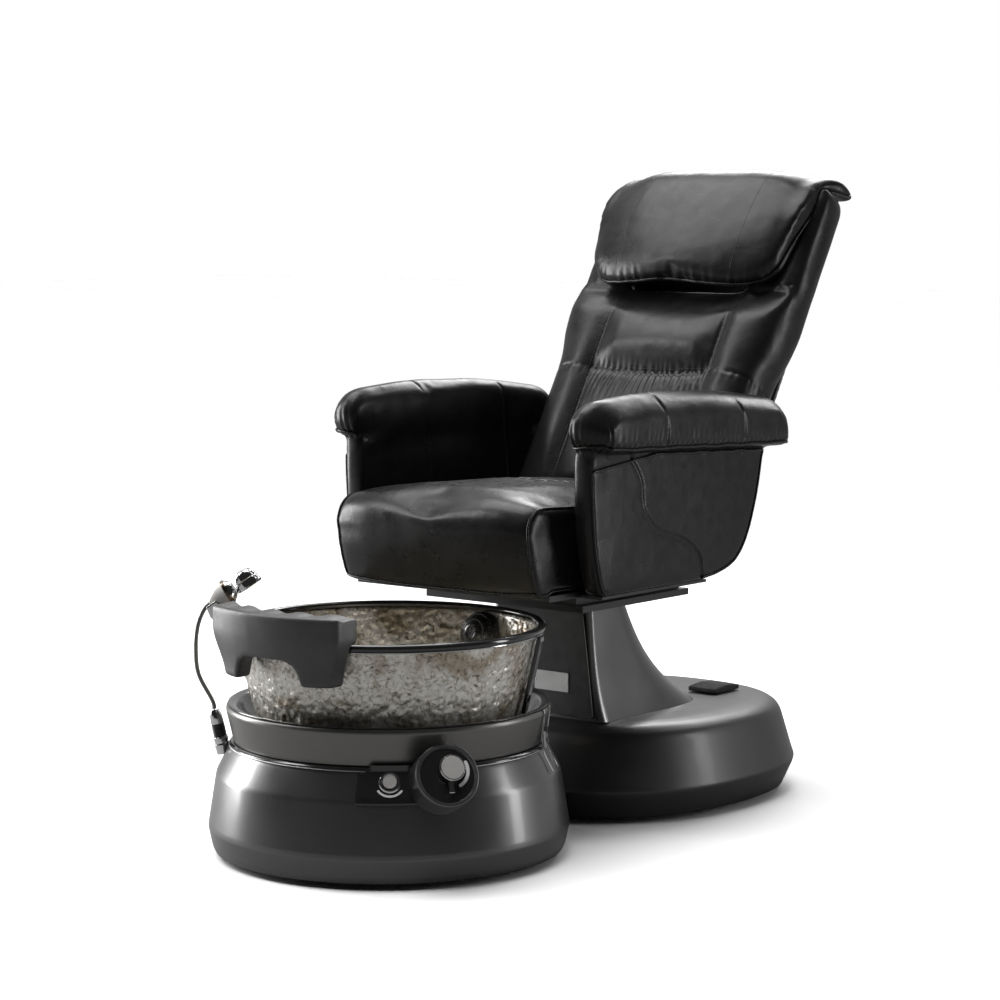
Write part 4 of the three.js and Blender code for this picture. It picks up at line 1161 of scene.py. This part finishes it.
def pod_centre():
    """The centre of the pod's face: the joint's axis runs beside it by the knob's offset."""
    return knob_foot() - facing(Vector((0, 0, 0)), VALVE_AXIS).to_3x3() @ KNOB_OFFSET


def knob_foot():
    """Where the knob's axis meets the pod's face."""
    lowest = min((v.co - VALVE_PLACE).dot(VALVE_AXIS) for v in NODES["valve_handle"].data.vertices)
    return VALVE_PLACE + VALVE_AXIS * (lowest - 0.0032)


# ------------------------------------------------------------------------------------------
# Upholstery

SEAM_RADIUS = 0.0026


def near_lines(lines, step=0.003):
    """A search tree of points along lines, and those points."""
    spots = [spot for line in lines for spot in resampled(line, step)]
    tree = KDTree(len(spots))
    for i, spot in enumerate(spots):
        tree.insert(spot, i)
    tree.balance()
    return tree, spots


def swollen(piece, held_lines, held_within, limit, pressure=4.0, shrink=0.0, held=None, calm=5):
    """Swells a closed leather cover with air while its sewn edges stay where they are."""
    tree = near_lines(held_lines)[0] if held_lines else None
    group = piece.vertex_groups.new(name="held")
    before = [vertex.co.copy() for vertex in piece.data.vertices]
    for vertex in piece.data.vertices:
        weight = 0.0
        if tree:
            weight = 1 - smooth_step(tree.find(vertex.co)[2], held_within * 0.6, held_within * 1.4)
        if held:
            weight = max(weight, held(vertex.co))
        if weight > 0.01:
            group.add([vertex.index], weight, "REPLACE")
    cloth = modifier(piece, "CLOTH").settings
    cloth.quality = 4
    cloth.mass = 0.4
    cloth.tension_stiffness = 45
    cloth.compression_stiffness = 35
    cloth.shear_stiffness = 20
    cloth.bending_stiffness = 12
    cloth.use_pressure = True
    cloth.uniform_pressure_force = pressure
    cloth.shrink_min = shrink
    cloth.vertex_group_mass = "held"
    cloth.effector_weights.gravity = 0
    for number in range(1, 21):
        scene.frame_set(number)
    applied(piece)
    scene.frame_set(1)
    for vertex, start in zip(piece.data.vertices, before):
        move = vertex.co - start
        if move.length > limit:
            vertex.co = start + move * (limit / move.length)
    modifier(piece, "SMOOTH", factor=0.5, iterations=calm)
    return applied(piece)


def finer(piece, relax=1):
    modifier(piece, "SMOOTH", factor=0.5, iterations=relax)
    modifier(piece, "SUBSURF", levels=1, render_levels=1)
    return applied(piece)


def sew(piece, lines, depth=0.004, width=0.0045):
    """Draws a cover in along its seams."""
    tree = near_lines(lines, 0.002)[0]
    moves = []
    for vertex in piece.data.vertices:
        away = tree.find(vertex.co)[2]
        if away < width * 3:
            moves.append((vertex, vertex.normal * (-depth * math.exp(-(away / width) ** 2))))
    for vertex, move in moves:
        vertex.co += move
    piece.data.update()
    return piece


def gather(piece, line, towards, reach, spacing, depth, seed=0.0):
    """Small pleats that run off one side of a seam and die away."""
    tree = near_lines([line], 0.002)[0]
    towards = Vector(towards).normalized()
    moves = []
    for vertex in piece.data.vertices:
        spot, index, away = tree.find(vertex.co)
        if away > reach * 2.2 or (vertex.co - spot).dot(towards) < -0.002:
            continue
        along = index * 0.002
        drift = noise.noise(Vector((along * 22, seed, away * 8))) * 2.4
        pleat = math.sin(2 * math.pi * along / spacing + drift * 2)
        uneven = 0.55 + 0.45 * noise.noise(Vector((along * 45, seed + 7, 0)))
        fade = math.exp(-(away / (reach * (0.7 + 0.5 * uneven))) ** 2)
        moves.append((vertex, vertex.normal * (depth * pleat * fade * uneven)))
    for vertex, move in moves:
        vertex.co += move
    piece.data.update()
    return piece


def rumple(piece, amount, size, seed=0.0):
    """Slow unevenness of hand-stuffed leather."""
    moves = []
    for vertex in piece.data.vertices:
        spot = vertex.co / size + Vector((seed, seed, seed))
        height = noise.noise(spot) + 0.4 * noise.noise(spot * 2.3)
        moves.append(vertex.normal * (amount * height))
    for vertex, move in zip(piece.data.vertices, moves):
        vertex.co += move
    piece.data.update()
    return piece


def on_surface(piece, line, lift, spacing=0.004):
    """A line laid on a piece: each point goes to the nearest place on it and up by the lift."""
    tree = surface_tree(piece)
    result = []
    for point in resampled(line, spacing):
        spot, normal = tree.find_nearest(point)[:2]
        result.append(spot + normal * lift)
    for _ in range(2):
        middle_points = [(a + b + c) / 3 for a, b, c in zip(result, result[1:], result[2:])]
        result = [result[0]] + middle_points + [result[-1]]
    return result


def stitched(name, piece, line, side, spacing=0.0075, length=0.0048):
    """A row of thread stitches beside a seam."""
    path = on_surface(piece, [Vector(p) + Vector(side) for p in line], 0.0003, spacing)
    points, faces = [], []
    for a, b in zip(path, path[1:]):
        along = (b - a).normalized()
        across = along.orthogonal().normalized()
        other = along.cross(across)
        middle_point = (a + b) / 2
        start = len(points)
        for t, r in ((-0.5, 0.00018), (-0.3, 0.00055), (0.3, 0.00055), (0.5, 0.00018)):
            for k in range(6):
                angle = k * math.pi / 3
                outward = across * math.cos(angle) + other * math.sin(angle)
                points.append(middle_point + along * (t * length) + outward * r)
        for ring in range(3):
            for k in range(6):
                n = (k + 1) % 6
                low_ring, high_ring = start + ring * 6, start + ring * 6 + 6
                faces.append((low_ring + k, low_ring + n, high_ring + n, high_ring + k))
        faces.append(tuple(start + k for k in range(6))[::-1])
        faces.append(tuple(start + 18 + k for k in range(6)))
    return from_faces(name, points, faces, THREAD)


def welted(name, piece, line, radius=SEAM_RADIUS, lift=None, closed=False):
    """Leather piping laid along a sewn edge."""
    path = on_surface(piece, line, radius * 0.55 if lift is None else lift)
    return tube(name, path, radius, PIPING, sides=10, closed=closed)


def side_outline(node, x, inset=0.0):
    """The outline of a solid's flat end, in order round its middle, drawn in towards it, at x."""
    lowest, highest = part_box(node)
    wanted = highest.x if x > 0 else lowest.x
    spots = [v.co.copy() for v in NODES[node].data.vertices if abs(v.co.x - wanted) < 1e-5]
    centre = sum(spots, Vector()) / len(spots)
    ordered, seen = [], set()
    for spot in sorted(spots, key=lambda p: math.atan2(p.z - centre.z, p.y - centre.y)):
        key = (round(spot.y, 5), round(spot.z, 5))
        if key not in seen:
            seen.add(key)
            inward = Vector((0, centre.y - spot.y, centre.z - spot.z)).normalized() * inset
            ordered.append(Vector((x, spot.y, spot.z)) + inward)
    return ordered


def looped(points):
    return points + [points[0]]


def dressed(piece, body, fill, *nodes):
    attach(piece, body)
    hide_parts(*nodes)


def trimmed(piece, body):
    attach(piece, body)


def make_seat_cushion():
    """The seat cushion, swollen between its piped edges."""
    lowest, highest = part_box("seat_cushion")
    half = highest.x
    edge_x = half - 0.004
    edges = [looped(side_outline("seat_cushion", side * edge_x, 0.010)) for side in (-1, 1)]
    centre_y = (lowest.y + highest.y) / 2
    front_low = [Vector((x * half, lowest.y + 0.030, lowest.z + 0.006)) for x in (-1, -0.5, 0, 0.5, 1)]

    def slimmer(p):
        """Crowns the top, bows the front and draws the side edges in."""
        to_side = abs(p.x) / half
        up = smooth_step(p.z, lowest.z + 0.05, highest.z)
        fore = 1 - smooth_step(p.y, lowest.y + 0.02, lowest.y + 0.12)
        z = p.z - up * (0.020 * to_side ** 4 - 0.004)
        y = centre_y + (p.y - centre_y) * 0.992 + fore * (0.016 * to_side ** 4 - 0.006)
        return Vector((p.x * 0.985, y, z))
    cushion = soft_copy("seat_cushion_cover", LEATHER_SMOOTH, [NODES["seat_cushion"]], 0.0075, 7, slimmer)

    def resting(p):
        return 1 - smooth_step(p.z, lowest.z + 0.012, lowest.z + 0.03)
    swollen(cushion, edges + [front_low], 0.008, 0.009, pressure=2.5, held=resting, calm=14)
    finer(cushion)
    rumple(cushion, 0.0012, 0.10, 3.1)
    top = highest.z
    across = [Vector((x * edge_x, y, top)) for x, y in ((-1, 0.052), (-0.4, 0.060), (0.4, 0.060), (1, 0.052))]
    across = curve_through(across, 10)
    middle_seam = [Vector((0, y, top)) for y in (0.06, 0.12, 0.2)]
    sew(cushion, edges, 0.003, 0.004)
    sew(cushion, [across, middle_seam], 0.0045, 0.006)
    gather(cushion, across, (0, -1, 0), 0.05, 0.034, 0.0016, 2.0)
    gather(cushion, across, (0, 1, 0), 0.04, 0.030, 0.0014, 5.0)
    dressed(cushion, "seat", 0.75, "seat_cushion")
    for side, line in zip(("right", "left"), edges):
        trimmed(welted(f"seat_piping_{side}", cushion, line, closed=False), "seat")
    trimmed(welted("seat_piping_front", cushion, front_low), "seat")
    trimmed(stitched("seat_stitches", cushion, across, (0, 0.005, 0)), "seat")


def box_mesh(x, y, z, turn=None):
    corners = [Vector((a, b, c)) for a in x for b in y for c in z]
    if turn:
        corners = [turn(*p) for p in corners]
    faces = [(0, 1, 3, 2), (4, 6, 7, 5), (0, 4, 5, 1), (2, 3, 7, 6), (0, 2, 6, 4), (1, 5, 7, 3)]
    mesh = bpy.data.meshes.new("filler")
    mesh.from_pydata([tuple(p) for p in corners], [], faces)
    return mesh


def make_arms():
    """The left arm, made once and mirrored."""
    pad_low, pad_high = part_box("arm_pad_left")
    panel_low, panel_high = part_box("arm_panel_left")
    inner, outer = panel_low.x, panel_high.x
    filler = box_mesh((inner + 0.001, outer - 0.008), (panel_low.y + 0.012, panel_high.y - 0.03),
                      (panel_high.z - 0.03, panel_high.z + 0.03))
    sources = [NODES["arm_pad_left"], NODES["arm_panel_left"], filler]

    def domed(p):
        """Rolls the pad's top over its long edges and rounds its front end."""
        up = smooth_step(p.z, pad_low.z + 0.03, pad_high.z)
        out_side = smooth_step(p.x, pad_high.x - 0.060, pad_high.x)
        in_side = 1 - smooth_step(p.x, pad_low.x, pad_low.x + 0.035)
        fore = 1 - smooth_step(p.y, pad_low.y, pad_low.y + 0.09)
        aft = smooth_step(p.y, pad_high.y - 0.09, pad_high.y)
        in_pad = smooth_step(p.z, pad_low.z - 0.01, pad_low.z + 0.02)
        y = p.y + in_pad * out_side ** 2 * (0.030 * fore - 0.022 * aft)
        return Vector((p.x, y, p.z - up * (0.030 * out_side ** 2 + 0.010 * in_side ** 2 + 0.010 * fore ** 2)))
    arm = soft_copy("arm_left", LEATHER, sources, 0.006, 7, domed)
    face = side_outline("arm_panel_left", outer)
    pad_edge = pad_lower_edge(pad_low, pad_high)
    below = [p for p in looped(face) if p.z < panel_high.z - 0.012]
    split = max(range(len(below) - 1), key=lambda i: (below[i + 1] - below[i]).length)
    panel_edge = below[split + 1:] + below[:split + 1]
    inner_edge = [Vector((inner + 0.004, p.y, p.z)) for p in panel_edge]

    def steady(p):
        at_back = smooth_step(p.y, panel_high.y - 0.12, panel_high.y - 0.05)
        inside = 1 - smooth_step(p.x, inner + 0.004, inner + 0.012)
        return at_back * inside
    swollen(arm, [panel_edge, pad_edge, inner_edge], 0.009, 0.011, pressure=4.0, held=steady)
    finer(arm)
    rumple(arm, 0.0009, 0.08, 1.7)
    over = [seam_over_arm(share) for share in (0.32, 0.71)]
    s_seam = panel_seam()
    sew(arm, [panel_edge, pad_edge], 0.002, 0.004)
    sew(arm, over, 0.0028, 0.0042)
    sew(arm, [s_seam], 0.0034, 0.0046)
    front_tip = [p for p in pad_edge if p.y < pad_low.y + 0.05]
    gather(arm, pad_edge, (0, 0, 1), 0.026, 0.017, 0.0013, 4.0)
    gather(arm, front_tip, (0, 0.3, 1), 0.05, 0.013, 0.0022, 9.0)
    mirrored = mirror_of("arm_right", arm)
    extras = [
        (welted("arm_piping_pad_left", arm, pad_edge, 0.0030), "arm_piping_pad_right"),
        (welted("arm_piping_panel_left", arm, panel_edge, 0.0028), "arm_piping_panel_right"),
        (stitched("arm_stitches_left", arm, s_seam, (0, 0.0045, 0.002)), "arm_stitches_right"),
    ]
    dressed(arm, "seat", 0.7, "arm_pad_left", "arm_panel_left")
    dressed(mirrored, "seat", 0.7, "arm_pad_right", "arm_panel_right")
    for extra, name in extras:
        other = mirror_of(name, extra)
        trimmed(extra, "seat")
        trimmed(other, "seat")


def pad_lower_edge(lowest, highest):
    """The sewn edge low on the outside of the arm pad, from the inner front corner round to the rear."""
    x_out = highest.x - 0.004
    y0, y1 = lowest.y, highest.y
    z = lowest.z
    corners = [(highest.x - 0.080, y0 + 0.012, z + 0.030), (highest.x - 0.045, y0 + 0.006, z + 0.030),
               (highest.x - 0.014, y0 + 0.014, z + 0.030), (x_out, y0 + 0.050, z + 0.028),
               (x_out, y0 + 0.20, z + 0.022), (x_out, y0 + 0.33, z + 0.018), (x_out, y0 + 0.50, z + 0.012),
               (x_out, y1 - 0.045, z + 0.008), (highest.x - 0.02, y1 - 0.008, z + 0.010)]
    line = curve_through(corners, 12)
    return [p + Vector((0, 0, 0.0012 * math.sin(p.y * 70))) for p in line]


def seam_over_arm(share):
    """A seam that runs over the arm from the inner face to the pad's outer edge."""
    pad_low, pad_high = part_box("arm_pad_left")
    inner = pad_low.x
    y = pad_low.y + (pad_high.y - pad_low.y) * share
    points = [(inner, y + 0.030, 0.55), (inner, y + 0.022, 0.66), (inner, y + 0.008, 0.78),
              (inner + 0.01, y, 0.85),
              (inner + 0.04, y - 0.004, 0.872), (inner + 0.07, y - 0.004, 0.85), (pad_high.x, y, 0.80),
              (pad_high.x, y + 0.002, 0.765)]
    return curve_through(points, 8)


def panel_seam():
    """The S-shaped seam on the outside of the arm panel."""
    x = high("arm_panel_left").x
    spots = [(0.341, 0.758), (0.380, 0.701), (0.390, 0.642), (0.440, 0.598), (0.524, 0.571), (0.575, 0.537),
             (0.590, 0.489)]
    return curve_through([Vector((x, y + BATH.y, z)) for y, z in spots], 10)


def make_back():
    """The back's cushions and bolsters as one cover with sewn channels."""
    front, seam_x = -0.037, 0.150
    lumbar_top = 0.312
    filler = box_mesh((-0.162, 0.162), (-0.024, 0.052), (0.030, 0.512), on_back)
    names = ["lumbar_cushion", "back_cushion", "bolster_left", "bolster_right"]

    def tucked(p):
        q = in_back(p)
        q.y = max(q.y, -0.046 + 0.038 * smooth_step(q.z, 0.42, 0.52))
        return on_back(*q)
    back = soft_copy("back_cover", LEATHER, [NODES[n] for n in names] + [filler], 0.0075, 12, tucked)
    seam_heights = (0.03, 0.16, 0.30, 0.42, 0.53)
    uprights = [[on_back(side * seam_x, front, u) for u in seam_heights] for side in (-1, 1)]
    lumbar_x = (-0.148, -0.08, 0, 0.08, 0.148)
    lumbar = [on_back(x, front, lumbar_top - 0.010 * math.cos(x * 10)) for x in lumbar_x]
    lumbar = curve_through(lumbar, 8)
    side_x = 0.262
    cross = []
    for side in (-1, 1):
        for u, drop in ((0.314, -0.012), (0.545, -0.012)):
            line = [(seam_x, front - 0.006, u), (0.20, front - 0.008, u + drop * 0.3),
                    (0.245, -0.03, u + drop * 0.7),
                    (side_x, 0.0, u + drop), (side_x, 0.06, u + drop)]
            cross.append(curve_through([on_back(side * x, y, z) for x, y, z in line], 8))
    half = high("bolster_left").x

    def steady(p):
        q = in_back(p)
        rear = smooth_step(q.y, 0.070, 0.085)
        flank = smooth_step(abs(q.x), half - 0.014, half - 0.006) * (1 - smooth_step(q.z, 0.30, 0.36))
        return max(rear, flank)
    swollen(back, uprights + [lumbar], 0.007, 0.014, pressure=4.0, held=steady)
    finer(back)
    rumple(back, 0.0010, 0.09, 6.3)
    for vertex in back.data.vertices:
        q = in_back(vertex.co)
        facing_front = 1 - smooth_step(q.y, 0.0, 0.03)
        roll = math.exp(-((q.z - 0.375) / 0.045) ** 2) * (1 - smooth_step(abs(q.x), 0.10, 0.16))
        hollow = math.exp(-((q.z - 0.485) / 0.04) ** 2) * (1 - smooth_step(abs(q.x), 0.10, 0.20))
        vertex.co += leaned(0, (-0.010 * roll + 0.008 * hollow) * facing_front, 0)
    back.data.update()
    sew(back, uprights, 0.0034, 0.0048)
    sew(back, cross, 0.0030, 0.0044)
    sew(back, [lumbar], 0.0065, 0.0075)
    gather(back, lumbar, leaned(0, 0, -1), 0.045, 0.0145, 0.0030, 3.0)
    gather(back, lumbar, leaned(0, 0, 1), 0.018, 0.016, 0.0012, 8.0)
    for k, line in enumerate(cross):
        gather(back, line, leaned(0, 0, -1), 0.02, 0.02, 0.0010, 11.0 + k)
    dressed(back, "back", 0.6, *names)
    for k, line in enumerate(uprights):
        trimmed(stitched(f"back_stitches_{k + 1}", back, line, ((k * 2 - 1) * 0.0048, 0, 0)), "back")
    trimmed(stitched("lumbar_stitches", back, lumbar, leaned(0, 0, 0.006)), "back")


def make_headrest():
    """The pillow that hangs over the top of the back."""
    wide = high("headrest_pillow").x
    base_u, top_u = 0.516, 0.824

    def eased(p):
        q = in_back(p)
        forward = 1 - smooth_step(q.y, -0.045, 0.070)
        up = smooth_step(q.z, 0.66, top_u)
        down = 1 - smooth_step(q.z, base_u, base_u + 0.07)
        to_side = min(1.0, abs(q.x) / (wide * 0.86))
        q.x *= 1 - 0.035 * forward ** 2 - 0.06 * forward * up ** 2 - 0.03 * down ** 2
        q.z += 0.032 * down * to_side ** 6 - 0.020 * up * forward * to_side ** 5
        q.z -= 0.020 * (1 - smooth_step(q.z, base_u, base_u + 0.12))
        q.y += 0.016 * forward * to_side ** 4 - 0.006 * forward * (1 - to_side ** 2)
        return on_back(*q)
    cover = soft_copy("headrest_cover", LEATHER, [NODES["headrest_pillow"]], 0.0065, 9, eased)
    edge = headrest_edge()

    def steady(p):
        q = in_back(p)
        return smooth_step(q.y, 0.070, 0.085) if q.z < 0.79 else 0.0
    swollen(cover, [edge], 0.008, 0.013, pressure=4.0, held=steady)
    finer(cover)
    rumple(cover, 0.0010, 0.08, 9.9)
    uprights = [curve_through([on_back(side * x, y, u) for x, y, u in
                               ((0.146, -0.085, 0.53), (0.148, -0.10, 0.62), (0.146, -0.09, 0.72),
                                (0.142, -0.05, 0.80),
                                (0.140, 0.02, 0.83), (0.140, 0.07, 0.82))], 8) for side in (-1, 1)]
    sew(cover, uprights, 0.0034, 0.0046)
    sew(cover, [edge], 0.0028, 0.0045)
    bottom = [p for p in edge if in_back(p).z < base_u + 0.03]
    gather(cover, bottom, leaned(0, 0, 1), 0.035, 0.026, 0.0015, 1.0)
    dressed(cover, "back", 0.7, "headrest_pillow")
    trimmed(welted("headrest_piping", cover, edge, 0.0032), "back")
    for k, line in enumerate(uprights):
        trimmed(stitched(f"headrest_stitches_{k + 1}", cover, line, ((k * 2 - 1) * 0.0048, 0, 0)), "back")


def headrest_edge():
    """The piped edge round the pillow's front: up one side, along the bottom and up the other."""
    side = [(0.274, 0.075, 0.796), (0.266, 0.030, 0.768), (0.254, -0.006, 0.705), (0.244, -0.020, 0.640),
            (0.238, -0.026, 0.580), (0.225, -0.032, 0.534), (0.198, -0.040, 0.507)]
    bottom = [(0.130, -0.052, 0.492), (0.050, -0.058, 0.487)]
    half = side + bottom
    points = [on_back(*p) for p in half] + [on_back(-x, y, u) for x, y, u in half[::-1]]
    return curve_through(points, 8)


make_camera()
make_hose()
make_floor()
make_studio()
dress_nodes()
make_bath_body()
make_bowl()
make_footrest()
make_button()
make_control_panel()
make_valve()
make_bath_fittings()
make_sprayer()
make_chair_base()
make_pedestal()
make_back_shell()
soften_metalwork()
make_seat_cushion()
make_arms()
make_back()
make_headrest()
